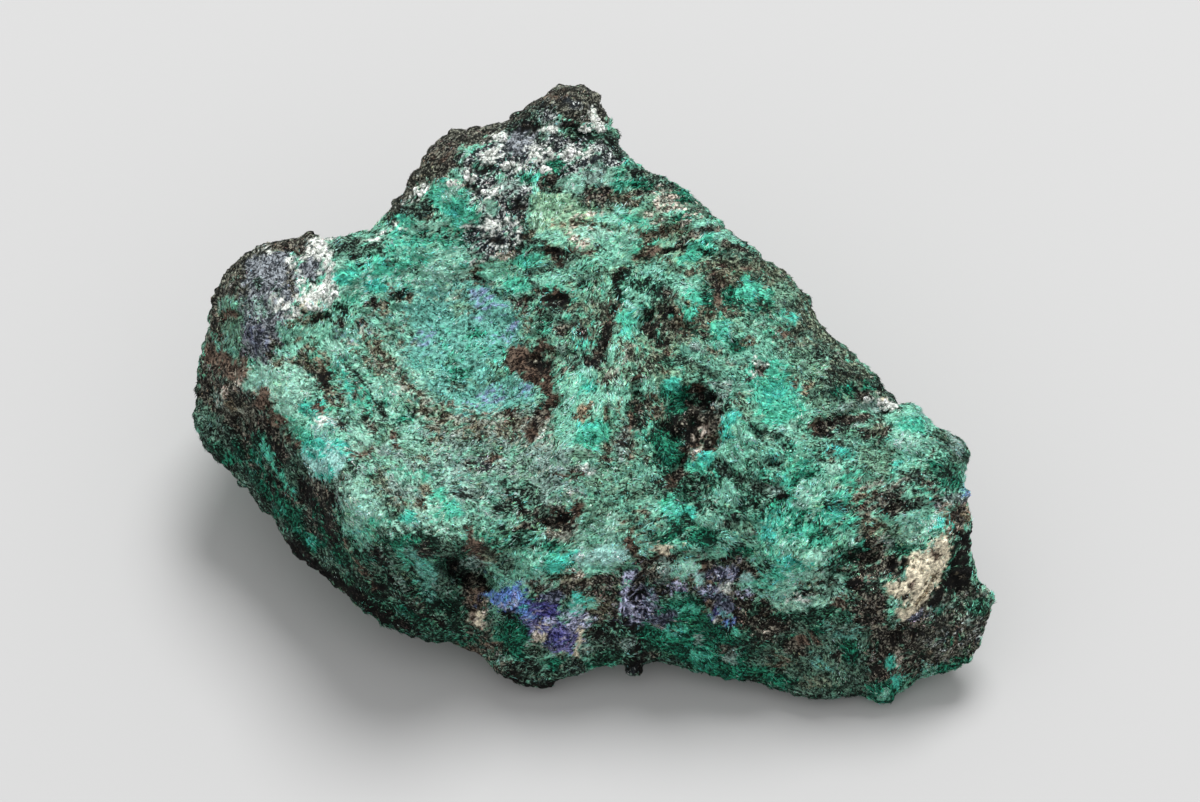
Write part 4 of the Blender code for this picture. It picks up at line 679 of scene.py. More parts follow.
BLUE_CORNER = [
    field("mint", (-13, -8.6), (-10, -8), (-7, -9), (-6.4, -11), (-9, -12.6), (-12, -12), share=0.4,
        soft=0.8),
    streak("pitch", 0.35, (-14, -8.7), (-13.2, -9.3), (-11.8, -9.5)),
    field("black_brown", (-8.2, -11), (-5.6, -10.6), (-2.6, -11), (-2.2, -12.4), (-4.2, -13.4), (-6, -12.4),
        (-7.8, -12.6), share=0.85),
    spot("black_green", -7.6, -9, 1.2, 0.7), spot("black_green", -9.6, -10.4, 1.3, 0.6, share=0.8),
    spot("pitch", -4.6, -12, 1.3, 0.5, share=0.85), spot("pitch", -3.2, -11.2, 0.8, 0.45, share=0.85),
    spot("umber", -4, -11.8, 1.8, 0.9, -10, 0.4), spot("pitch", -8.2, -10.3, 0.6, 0.25, -30),
    spot("black_brown", -9.4, -9.4, 0.5, 0.3), spot("mint", -5.6, -11.2, 0.5, 0.3, share=0.8),
    spot("umber", -2.4, -10.4, 0.5, 0.3, 30), spot("liver", -2.2, -11.2, 0.5),
    spot("black_green", -4.8, -14.4, 0.7, 0.3), streak("liver", 0.5, (-7, -14.7), (-6, -14)),
    streak("black_green", 0.7, (-9.8, -8.2), (-8, -9), (-6.6, -10.4), (-5.4, -11.2), share=0.9),
    spot("dust", -4.4, -13.3, 1.5, 0.5), spot("mint", -7.6, -13.4, 1.3, 0.5, -20),
    spot("sage", -9.4, -14, 1.8, 1.2, share=0.6), spot("olive", -10.6, -15.4, 0.9, 0.7),
    spot("moss", -9, -16.4, 1.4, 0.7),
    field("pale_mint", (-2.5, -15), (-1, -14.2), (2, -14), (3, -14.8), (2.2, -16.2), (0.5, -17.2),
        (-1, -17.5), (-2, -16.5)),
    field("turquoise", (-6.5, -16.2), (-5, -15.2), (-2.5, -15.2), (-2.2, -16), (-4, -17), (-5.5, -16.8)),
    spot("bright", -4.8, -15.8, 1.1, 0.5), spot("pale_turquoise", 0.4, -15.4, 2.3, 0.9, 5, 0.8),
    spot("mint", 0.2, -17.2, 1.2, 0.4), spot("emerald", -4.6, -14.5, 0.8, 0.3),
    field("mint", (-10.4, -18.2), (-8.8, -17.6), (-7.2, -17.8), (-7.4, -18.6), (-9, -18.8)),
    spot("pale_turquoise", -7.4, -18.2, 0.6, 0.3),
    field("black_brown", (-7.4, -18.6), (-6, -17.6), (-3, -17.6), (-1.4, -18.2), (2.4, -16.8), (2.6, -19),
        (1.4, -22), (-1, -22), (-3, -20), (-6, -20.4)),
    spot("taupe", -3, -17.8, 1.4, 0.4), spot("blush", -2.4, -17.4, 0.5, 0.2, share=0.4),
    spot("silver_mint", -5.2, -18.8, 0.7, 0.5, share=0.7), spot("taupe", 0, -20.6, 1.2, 0.8),
    field("azure", (-11.3, -19.5), (-10, -19), (-8, -18.5), (-7.2, -19.2), (-7.6, -20.4), (-8.8, -21),
        (-10, -20.6), (-11, -20)),
    spot("blue_slate", -5, -19.6, 1, 0.6), spot("lilac", -9.3, -20.4, 0.7, 0.3, share=0.5),
    spot("pitch", -8.8, -21.5, 0.9, 0.5), spot("turquoise", -7.7, -21.4, 0.3, 0.5),
    field("indigo", (-7.5, -20.5), (-6, -20), (-4.5, -20.5), (-4.3, -21.8), (-5.5, -22.5), (-7, -21.8)),
    spot("azure", -6.8, -21.8, 1, 0.35, -20, 0.8),
    field("violet", (-8, -22.2), (-5.5, -22.2), (-4, -22.5), (-2.2, -22.5), (-1.8, -24), (-2.5, -25),
        (-4.5, -25.2), (-6, -24.5), (-7.4, -23.4)),
    spot("indigo", -3.6, -23.4, 1.5, 0.5, 15, 0.8), spot("lilac", -5.2, -22.2, 0.8, 0.3, share=0.7),
    field("lilac", (-4, -21.2), (-2.5, -20.8), (-1, -21.5), (-0.8, -22.8), (-2, -23), (-3.2, -22)),
    spot("white", -1.6, -21.9, 0.8, 0.3, -30, 0.6), spot("turquoise", -2.4, -20.2, 0.7, 0.9),
    spot("pale_turquoise", -2.3, -20.6, 0.4), spot("turquoise", -0.9, -20, 0.5, 0.35, 30),
    spot("mint", -0.6, -20.2, 0.3), spot("cream", -5.8, -23.8, 0.2, 0.6, -20),
    spot("silver_mint", -1.3, -24.8, 0.7, 0.4, -20), spot("black_green", -0.4, -23.6, 1.2, 0.8),
    spot("black_green", -3, -26.4, 1.6, 0.9), spot("olive", -4, -25.6, 0.4, 0.2),
    field("emerald", (-10, -22.2), (-8.4, -21.8), (-7.4, -23.4), (-7.6, -25.6), (-9.4, -25.4), (-10.4, -24)),
    spot("moss", -6.4, -25, 0.9, 0.8), spot("black_brown", -8.6, -26.8, 2, 0.7),
    spot("emerald", 0.2, -26, 1, 0.4, 10),
    field("lilac", (2.2, -20.5), (3, -19), (2.8, -17.2), (3.5, -17), (4.5, -19), (5.2, -20.5), (5.5, -21.5),
        (4, -22), (2.5, -21.5)),
    spot("black_brown", 4.2, -17.6, 0.6, 1, -20),
    streak("blue_slate", 0.5, (3.4, -17), (3, -18.6), (3.4, -19.8)),
    streak("pitch", 0.35, (2.9, -20.2), (3.6, -20.6), (4.2, -20.9)), spot("blue_slate", 5, -21, 0.8, 0.9),
    spot("blue_slate", 5, -19.2, 0.8, 0.6), spot("pitch", 4, -19.4, 0.3, 0.6),
    spot("black_green", -6, -27.6, 5, 1.4, share=0.9),
    streak("black_green", 1.6, (12, -28.4), (18, -29.6), (25, -29.8), share=0.8),
    streak("pitch", 1.2, (-9.5, -27.4), (-6, -29), (-3, -28.4), share=0.7),
    spot("blue_slate", 3.6, -22, 1.4, 0.3, 5),
    field("pitch", (-0.6, -22.8), (2, -21.8), (4.6, -22.6), (4.4, -24.6), (2, -26), (0, -25.2), share=0.85),
    spot("black_green", 1, -24.6, 1.6, 0.8), spot("deep", 0.8, -25.6, 1.4, 0.5),
    spot("silver_mint", 2.7, -24.4, 0.3, 0.2, 60), streak("umber", 0.8, (2.4, -14), (3.6, -15), (4.4, -15.8)),
    spot("liver", 3.4, -14.8, 0.4, 0.7, 20),
    field("mint", (4, -14), (7, -14.2), (8, -15), (6.6, -15.6), (4.6, -15.2), share=0.8),
    spot("cream", 6.5, -14.9, 1, 0.45, -20), spot("umber", 5.7, -15.2, 0.3),
    streak("liver", 0.4, (5, -15.9), (7, -15.7), (8.4, -15)), spot("umber", 8.6, -15.1, 0.5, 0.25),
    field("black_brown", (2, -15.8), (5, -16), (9.4, -15.8), (13.6, -15.6), (16.6, -17), (17, -20), (16, -23),
        (12, -22.6), (9, -19), (6, -19.6), (4, -16.8)),
    field("mint", (6.6, -16.6), (8.6, -15.8), (10, -15.8), (9.8, -17.2), (10, -18.2), (8, -18), (7, -17.8),
        share=0.9),
    spot("silver_mint", 6.4, -17, 0.6, 0.9), spot("pale_mint", 8.8, -16.6, 0.8, 0.5),
    spot("umber", 8.8, -17.7, 1.1, 0.35), spot("pale_turquoise", 10, -17.8, 0.3, 0.8),
    spot("lilac", 7.4, -18.8, 0.9, 0.4, share=0.8),
    streak("umber", 0.5, (9.8, -16), (11, -17.6), (12, -18.6)), spot("olive", 9.4, -18.8, 0.9, 0.4),
    spot("blue_slate", 12.4, -17.2, 1.4, 0.7), spot("lilac", 12.6, -17.4, 0.8, 0.4, share=0.6),
    spot("blue_slate", 10.8, -18.8, 1, 0.4), spot("lilac", 10.8, -18.8, 0.6, 0.2),
    spot("blue_slate", 11.4, -19.6, 1.4, 0.5), spot("pale_turquoise", 14.8, -17.6, 0.5, 0.5),
    spot("mint", 14.5, -18.4, 0.5, 0.25), spot("white", 12.6, -18.6, 0.35, 0.2),
    spot("lilac", 14.4, -19.2, 0.4, 0.6, share=0.6), spot("blue_slate", 12.4, -20.4, 1, 0.9),
    spot("indigo", 11.3, -21.6, 0.4, 0.6), spot("white", 11.8, -21.7, 0.3, 0.4),
    spot("umber", 10.8, -20.6, 0.4, 0.4), spot("azure", 12.9, -22.5, 0.5, 0.35, 40),
    spot("bright", 13.4, -22.9, 0.3),
    field("bright", (5, -22.4), (7.4, -20.4), (9.4, -20.2), (10, -22.6), (12.4, -24.2), (9.6, -24.6),
        share=0.3),
    field("emerald", (3.6, -23), (6, -21), (8, -19.6), (9.8, -19.8), (10.6, -22), (13, -23.4), (14.4, -25.4),
        (14.6, -27.8), (12, -28), (9, -25.8), (5.6, -24.8)),
    spot("bright", 8.8, -20.6, 0.9, 0.5, share=0.6), spot("taupe", 6.8, -22.4, 0.8, 0.3, share=0.7),
    spot("bright", 7.8, -23, 1, 0.5, -20, 0.6), spot("silver_mint", 9.7, -23.8, 0.3),
    spot("black_brown", 13, -25, 0.7, 0.4), spot("silver_mint", 13.2, -25.8, 0.7, 0.4, share=0.8),
    spot("black_brown", 5, -25.4, 0.8, 0.4), spot("bright", 10.6, -25.2, 0.9, 0.5, share=0.5),
    spot("black_green", 5.6, -26.4, 1.6, 0.4),
    field("black_brown", (15.6, -19.6), (18, -22), (20, -22.4), (20.4, -24.8), (17.6, -25), (15.2, -22.6)),
    spot("blush", 16.4, -23.3, 0.3, 0.12, share=0.4),
    field("moss", (19.6, -22.2), (23.6, -22), (26.8, -23), (26.4, -28.4), (20, -28), (15, -26)),
    spot("teal", 22.4, -26, 1.4, 1.1, share=0.5), spot("emerald", 20.4, -23.4, 1.4, 0.6, 20),
    spot("teal", 24.4, -23, 1.4, 0.7, share=0.4), spot("black_brown", 19.6, -24.6, 1, 0.8),
    spot("emerald", 24.8, -25, 1, 1.2), spot("black_brown", 23.6, -25.6, 0.6, 0.5),
    streak("emerald", 1.2, (13, -26.8), (16, -27), (19, -28.6), share=0.7),
    streak("moss", 0.8, (19, -28.8), (23, -29), (26, -28.8), share=0.8),
    streak("moss", 1, (20, -22.6), (22, -25), (25, -27.6), share=0.8),
    streak("lilac", 0.8, (2.8, -17.2), (2.4, -18.4), (2.5, -20), (3.2, -21.2), (4.8, -21.5), share=0.95),
    spot("lilac", 4.2, -20.2, 0.5, 1.1, 30, 0.8), spot("blue_slate", 6, -21.6, 1, 0.4, 5),
    streak("pitch", 0.35, (3.2, -18.2), (3.1, -19.6), (3.7, -20.8), (4.6, -21.1)),
    spot("black_green", 3.5, -27, 1.7, 1.5, share=1.1), spot("pitch", 3.6, -26.2, 0.9, 1, share=0.9),
    spot("salt", 2.8, -27.4, 0.35, 0.3), spot("emerald", -4.6, -26.3, 0.9, 0.6, 20),
    spot("olive", 22, -28, 1.4, 0.4, share=0.5), spot("taupe", 18, -26, 1.4, 0.6, share=0.5),
    spot("emerald", 17.2, -27.8, 1.4, 0.6, share=0.5),
]

# Thin dustings over several of the patches above.
DUSTINGS = [
    veil("pale_mint", -24.6, 11.2, 1.5, 1, 20, 0.5), veil("bright", -17, 14.8, 1.8, 1, 10, 0.4),
    veil("pale_mint", -15.6, 12, 1.8, 0.9, 10, 0.4), veil("pale_mint", -20.4, -4.6, 1.8, 1.2, -50, 0.4),
    veil("mint", -24, -12.6, 1.3, 1.6, 30, 0.7), veil("silver_mint", -19.6, -9, 1.4, 1, -40, 0.4),
    veil("pale_mint", -16.6, -12.6, 1.4, 0.8, -10, 0.35), veil("silver_mint", -11.6, -8.6, 1.6, 1, 0, 0.35),
    veil("mint", -20.4, 7.6, 1.6, 0.9, -10, 0.35), spot("pale_mint", -31.6, 0.2, 2.2, 1.3, -30, 0.5, 0.7),
    spot("pale_turquoise", -28, -5.2, 1.8, 1.8, -35, 0.5, 0.7),
    veil("rim_grit", -36.4, -0.6, 1.6, 1.4, -40, 0.65), veil("moss", -20, -16.8, 2.6, 1.6, -30, 0.5),
    veil("taupe", 4, -0.9, 1.8, 1.9, 0, 0.55), veil("black_brown", 3.6, -0.6, 0.9, 1.8, 0, 0.5),
    veil("deep", 4.2, 11.2, 2.2, 1.8, 60, 0.4), veil("pale_mint", 0.2, -12.8, 2.2, 1.4, 0, 0.4),
    veil("blush", 8, 19, 2, 1, -30, 0.35), spot("pale_mint", 32.2, -12.8, 1.8, 1.5, 10, 0.5, 0.7),
    veil("black_brown", 32, -8.8, 2, 1.3, -20, 0.35), veil("emerald", 20.4, -12.8, 1.8, 1.8, 0, 0.4),
    veil("mint", 16, -5, 2.2, 1.6, -30, 0.4), veil("mint", 15.6, -13, 1.8, 1.8, 0, 0.4),
    veil("sage", 24, -0.8, 2.2, 1.6, -30, 0.35), veil("black_brown", -12, -24.8, 1.8, 1.6, 0, 0.45),
    veil("taupe", 4.4, -12.8, 2, 1.6, -20, 0.35), veil("moss", 24, -5, 2, 1.6, 0, 0.25),
    veil("moss", 23.8, -12.6, 1.6, 1.4, 0, 0.3), veil("salt", -10.4, 19.2, 2.4, 2.6, 0, 0.5),
    spot("silver_mint", -9.6, 21.2, 1.2, 0.9, share=0.6), veil("white", -10.4, 17.2, 1.8, 1.2, 0, 0.4),
    veil("mint", -8, -16.6, 1.8, 1.2, 0, 0.4), veil("dust", 28, -8.6, 1.8, 1.2, 0, 0.4),
    veil("mint", 32, -4.6, 1.8, 1.4, -20, 0.4), veil("black_brown", 0, 7, 1.4, 1.6, 0, 0.3),
    veil("umber", -12, -25, 1.4, 1.2, 0, 0.35),
    # Brown along the brink, and the streaks down the wall under it.
    spot("umber", -33.8, 0.3, 1.1, 0.8, -35, 1.2), spot("umber", -32.2, -1.6, 0.8, 1.1, 20, 1.2),
    spot("liver", -31.4, -3.2, 0.5, 0.7, 20, 0.9), spot("blush", -36, 1.7, 1.3, 0.2, 35),
    streak("pitch", 0.8, (-30.6, -6.8), (-29, -9.4), (-27.4, -12), (-26.6, -14.4), share=0.8),
    streak("rim_grit", 0.7, (-29.4, -7.4), (-27.6, -9.4), (-26.6, -12), share=0.7),
    streak("teal", 0.9, (-18.6, -15.4), (-17.6, -17.4), (-17, -19.6), share=0.6),
    streak("bright", 0.4, (-20, -15.2), (-19, -17), (-18.2, -19.4), share=0.6),
    streak("emerald", 0.5, (-34.8, -5), (-32.6, -8.4), (-31, -11), share=0.8),
    streak("pitch", 0.7, (-23.4, -17.4), (-20, -20.2), (-16, -22.4), share=0.8),
    streak("silver_mint", 0.35, (-22, -15), (-20.8, -17), (-19.4, -19), share=0.6),
    streak("pitch", 0.5, (-22.6, -14.2), (-21.8, -16.4), (-20.2, -18.6), share=0.7),
    streak("umber", 0.5, (-25.4, -14), (-24, -16.6), (-22.4, -18.4), share=0.6),
    spot("silver_mint", -15.8, -19, 0.9, 0.4, -40, 0.6), spot("umber", 20.6, -23.6, 1.4, 0.6, -20, 0.5),
    spot("black_brown", -23.8, 7.9, 0.4, 0.25, 20), spot("black_brown", -22.7, 9.9, 0.5, 0.3, -20),
    spot("black_brown", -26.2, 7.6, 0.5, 0.25, 20), spot("umber", -21.3, 11.4, 0.5, 0.35, 10),
    spot("pitch", -23.4, 13.3, 0.5, 0.2, 10), spot("black_brown", -24.6, 2.3, 0.4, 0.7, 30),
    spot("taupe", -22.4, 4.4, 0.5, 0.9, 40), spot("umber", -23.9, -4.9, 0.7, 0.4),
    spot("black_brown", -22.8, -2.6, 0.35, 0.8, 10), spot("pitch", -18.4, -1.2, 0.5, 0.2, -30),
    streak("umber", 0.35, (-20.8, -3.2), (-20.2, -4.6), (-20.4, -6)), spot("taupe", -16.8, -4, 0.8, 0.3, -30),
    spot("black_brown", -13.4, -6.4, 0.6, 0.2, -20), spot("pitch", -14.6, -8.8, 0.7, 0.2, -25),
    spot("umber", -10.6, -5.6, 0.8, 0.3, 10),
    # The pale crust on the brink (its pale mint partly painted highlight), the broken ground beside it and
    # the brown fibres that run down the hollow.
    spot("pale_mint", -34.2, 2.5, 1.4, 0.8, 35, 1.1), spot("bright", -31.2, -1.2, 0.8, 0.5, -30, 1),
    spot("taupe", -28.3, 4.4, 0.8, 1.5, 20, 0.7, 0.6), spot("pitch", -27.5, 1.9, 0.4, 0.9, 20, 0.9),
    spot("umber", -27.9, -0.6, 0.6, 0.8, 20, 0.8),
    streak("dust", 0.5, (-26, 6.4), (-22, 3.6), (-18.8, 0.5), (-14.4, -1.5), share=0.45, soft=0.6),
    streak("taupe", 0.45, (-24.8, 5.2), (-21, 1.2), (-18, -1.2), share=0.5, soft=0.6),
    streak("dust", 0.9, (-17, -1.2), (-12.4, -1.4), (-8.4, -1.9), share=0.45, soft=0.7),
    streak("taupe", 0.6, (-16.4, -2.9), (-12, -3.1), (-8.8, -3.4), share=0.5, soft=0.6),
    spot("bright", -25.6, 12.8, 2.2, 1.1, 10, 0.55, 0.7), spot("pale_mint", -26.6, 13.8, 1, 0.5, 15, 0.8),
    spot("bright", -21.6, 13.4, 1.6, 0.8, 5, 0.55, 0.7), spot("bright", -18.2, 16.6, 2, 1.1, -15, 0.6, 0.7),
    spot("pale_mint", -17, 17.3, 1, 0.5, 5, 0.8), spot("pale_mint", -14.4, 14.6, 1.6, 0.4, 12, 0.8),
    spot("pale_mint", -24, -3.7, 1.2, 1.1, 20, 0.75, 0.6), spot("bright", -23.4, 0.6, 1, 1.4, 30, 0.5, 0.7),
    spot("mint", -24.4, 3.4, 0.9, 1.3, 40, 0.6, 0.6),
    spot("silver_mint", -24.8, -9.2, 1.2, 2.3, 35, 0.5, 0.7),
    spot("pale_mint", -20, -7, 1.3, 0.7, -20, 0.6, 0.6),
    # The green lobe over the right of the wall, and the clear green beside the notch.
    spot("mint", 18.4, -18.4, 2.4, 1.5, 10, 0.7, 0.6), spot("bright", 17.6, -17.4, 1.6, 0.8, 20, 0.6, 0.5),
    spot("black_green", 22.8, -18.6, 0.9, 1.2, -20, 0.8), spot("pitch", 19.8, -19.3, 0.8, 0.25, 20, 0.8),
    spot("mint", 20.4, 3.6, 1.6, 1, 20, 0.4, 0.6), spot("deep", 24.2, -16.2, 1.4, 1.2, share=0.6, soft=0.6),
    spot("black_brown", -7.4, -12.8, 1.2, 0.5, 10, 0.8),
    spot("deep", -8.6, -13.8, 1.4, 0.7, share=0.6, soft=0.6),
    spot("deep", 8, -12.4, 1.3, 0.8, share=0.6, soft=0.6),
    spot("emerald", 7.2, -13.6, 1.2, 0.8, share=0.6, soft=0.6),
    # On the brink: dark grit on its edge, and pale mint that is partly its own colour and partly painted
    # highlight.
    spot("black_brown", -34.8, -2.4, 0.8, 1, 25, 0.8), spot("rim_grit", -35.4, -0.8, 0.9, 1.4, 25, 0.9),
    spot("pale_mint", -31.4, -0.4, 1.5, 0.7, -40, 1), spot("mint", -30.4, -2.2, 0.9, 0.7, -30, 0.9),
    spot("bright", -29.6, -3.4, 1, 0.6, -40, 0.9), spot("pale_turquoise", -26.9, -2.3, 0.7, 0.4, share=0.9),
    # Long fibres that bend down the hollow from the lobe: a dark band, a pale one and a brown one.
    streak("black_brown", 0.6, (-30.8, 4.4), (-28.6, 2.6), (-26.6, 0.4), (-25.7, -2.6), share=0.75,
        soft=0.35),
    streak("pale_mint", 0.7, (-27.3, 6), (-24.6, 3.6), (-21.8, 0.6), (-19.8, -2.2), (-18.9, -4.6), share=0.65,
        soft=0.35),
    streak("taupe", 0.5, (-23.4, 6.2), (-20.4, 3.2), (-17.8, 0), (-16.4, -3.2), share=0.7, soft=0.35),
    streak("black_green", 0.25, (-26, 4.4), (-23.2, 1.4), (-21.6, -1.8), share=0.9),
    streak("pale_mint", 0.4, (-21.6, 5.8), (-18.8, 3), (-16.8, 0.4), share=0.8),
    streak("silver_mint", 0.6, (-21.6, -4.6), (-18.4, -6.4), (-14.2, -7.4), share=0.7, soft=0.35),
    # White crust down the lobe's inner side, and pale crusts in the corner of the hollow.
    streak("white", 0.9, (-28.4, 15.8), (-27.2, 14.4), (-27, 12.4), (-26.8, 10.5), share=1.2),
    spot("white", -29, 10.4, 1.1, 0.5, 10, 1.1), spot("slate", -28.9, 13, 0.7, 0.8),
    spot("pale_mint", -24.2, 12.2, 1.9, 0.9, 10, 0.55, 0.6),
    spot("pale_mint", -20.4, 11.8, 1.7, 0.8, 10, 0.5, 0.6),
    spot("pale_mint", -24.2, -9.4, 1.4, 1.5, 30, 0.55, 0.6),
    spot("bright", -23.4, -12.6, 1.3, 0.9, 10, 0.5, 0.6),
    spot("pale_mint", -20.2, 0.2, 1.3, 1, -50, 0.5, 0.6),
    spot("silver_mint", -11.6, -4.6, 1.6, 0.8, 5, 0.5, 0.6), spot("salt", -11, -6.6, 1.4, 0.3, -10, 0.7),
    spot("black_brown", 4.2, -1.6, 0.5, 1.4, 10, 0.9), spot("deep", 3.6, -0.2, 1, 1.2, share=0.5, soft=0.5),
    # Cream seams between the blue crystals.
    streak("cream", 0.35, (-1.9, -22.7), (-2.1, -24), (-2.4, -25.3)),
    streak("blush", 0.3, (-6, -21.8), (-6.4, -23.8)),
    # The crevice behind the right shelf and its pale rim, the dark ground right of the green lobe,
    # and the dark fork of the groove.
    streak("black_brown", 0.8, (22.2, -2.7), (24.4, -1.7), (26.6, -1.7), share=1.1),
    streak("pitch", 0.4, (21.6, -3.2), (23.2, -3.5)),
    streak("silver_mint", 0.35, (24, -0.7), (26, -0.3), (27.8, -0.7)),
    spot("black_brown", 26, -17, 1.8, 1.4, share=0.75, soft=0.5),
    spot("black_brown", 26.6, -20, 1.7, 1.3, share=0.7, soft=0.5),
    spot("pitch", 25.4, -18.6, 0.8, 0.5, 20, 0.9), spot("black_brown", 6.5, 8.2, 1.5, 1.3, 20, 0.75, 0.5),
    spot("pitch", 6.9, 9.1, 0.7, 0.5, 20, 0.9), spot("taupe", 9.3, 8.6, 1.5, 1.5, share=0.5, soft=0.6),
    # Clear green below the left shoulder of the peak, with dark ground left of it.
    spot("bright", -15.3, 20.3, 1.5, 1.1, -30, 0.7, 0.5), spot("pale_mint", -14.8, 21.2, 0.8, 0.5, -20),
    spot("bright", -13.1, 18.7, 1, 0.7, share=0.8), spot("black_green", -17.6, 18.4, 1.1, 1.5, 10, 0.65, 0.5),
    spot("turquoise", -28.4, -4.6, 1.3, 0.8, -40, 0.6, 0.5),
    spot("pale_turquoise", -28, -6.4, 1.2, 0.8, -40, 0.6, 0.5),
    spot("turquoise", -25.2, 12.4, 1.1, 0.6, 10, 0.8), spot("turquoise", -22.2, 11.4, 1, 0.5, 0, 0.8),
    spot("sage", 20.2, 3.4, 1.7, 1.2, 20, 0.45, 0.6), spot("dust", -36.2, -1.2, 1.1, 0.4, -30, 0.6),
    spot("tan", -37, 0.2, 0.5, 0.9, 20, 0.6), spot("pale_mint", -24.4, -12, 0.9, 0.7, 20, 0.7),
]

FACE_MARKS = (GROUND + LEFT_LOBE + LEFT_FACE + PEAK + UPPER_FACE + MIDDLE + PITS + RIGHT + WALL
              + BLUE_CORNER + DUSTINGS)

# Clouds of tone round the back and underneath: (tone, place, reach, share).
BACK_MARKS = [
    ("black_brown", (0, 28, 12), 16, 0.8),
    ("rim_grit", (-26, 20, 10), 12, 0.8),
    ("emerald", (14, 20, 10), 9, 0.5),
    ("moss", (28, 6, 10), 9, 0.9),
    ("taupe", (30, 12, 4), 5, 0.6),
    ("black_brown", (36, -4, 8), 6, 0.6),
    ("mint", (-12, 26, 16), 5, 0.35),
    ("slate", (-32, 10, 8), 8, 0.6),
    ("salt", (-4, 30, 20), 6, 0.8),
    ("umber", (-20, 0, 0), 14, 0.8),
    ("deep", (10, -6, 0), 14, 0.8),
    ("azure", (6, 22, 5), 2.2, 0.25),
    ("indigo", (9, 23, 4), 2.6, 0.4),
    ("cream", (24, 14, 6), 2.6, 0.5),
    ("bright", (-36, 2, 6), 5, 0.6),
    ("taupe", (22, -12, 0), 9, 0.8),
    ("mint", (2, 12, 0), 7, 0.6),
    ("black_brown", (39, -17, 10), 7.5, 1.1),
]

# How the needles are combed on the face: (u, v, angle in degrees above u).
COMB = [
    (-38, 0, -60), (-33, -8, -58), (-28, -13, -50), (-25, -13, -60), (-20, -17, -25), (-15, -20, -15),
    (-34, 10, -70), (-28, 10, 60), (-22, 12, 0), (-16, 15, 10), (-30, 0, 0), (-26, 4, -60), (-21, 2, -40),
    (-27, -5, -45), (-22, -9, -50), (-14, 5, 20), (-14, -4, 0), (-12, -9, -20), (-6, -3, 10), (-5, 10, 0),
    (-8, 20, 60), (-3, 29, 30), (-1, 22, 10), (2, 16, 0), (1, 9, 85), (4, 9, 60), (1, 3, 80), (8, 17, 20),
    (11, 16, 10), (16, 13, -10), (8, 7, -30), (15, 11, -45), (11, 4, -30), (17, 8, -60), (21, 7, -50),
    (6, -4, -60), (10, -2, 40), (10, -9, -50), (16, 1, -30), (18, -2, 10), (24, 2, -40), (16, -6, -60),
    (13, -12, -30), (18, -13, 80), (22, -8, 40), (22, -13, 45), (30, -3, -20), (35, -5, -40), (28, -10, 20),
    (34, -8, 30), (32, -12, 10), (-2, -8, 0), (-5, -12, 40), (0, -15, 20), (-5, -16, 20), (6, -13, 10),
    (8, -17, -40), (-9, -20, 40), (-4, -23, 20), (3, -20, -50), (12, -18, -50), (7, -22, -35), (11, -26, -25),
    (19, -19, 0), (20, -25, -15), (25, -20, 0), (25, -26, -70), (31, -18, 55), (36, -16, 80), (34, -23, 60),
]

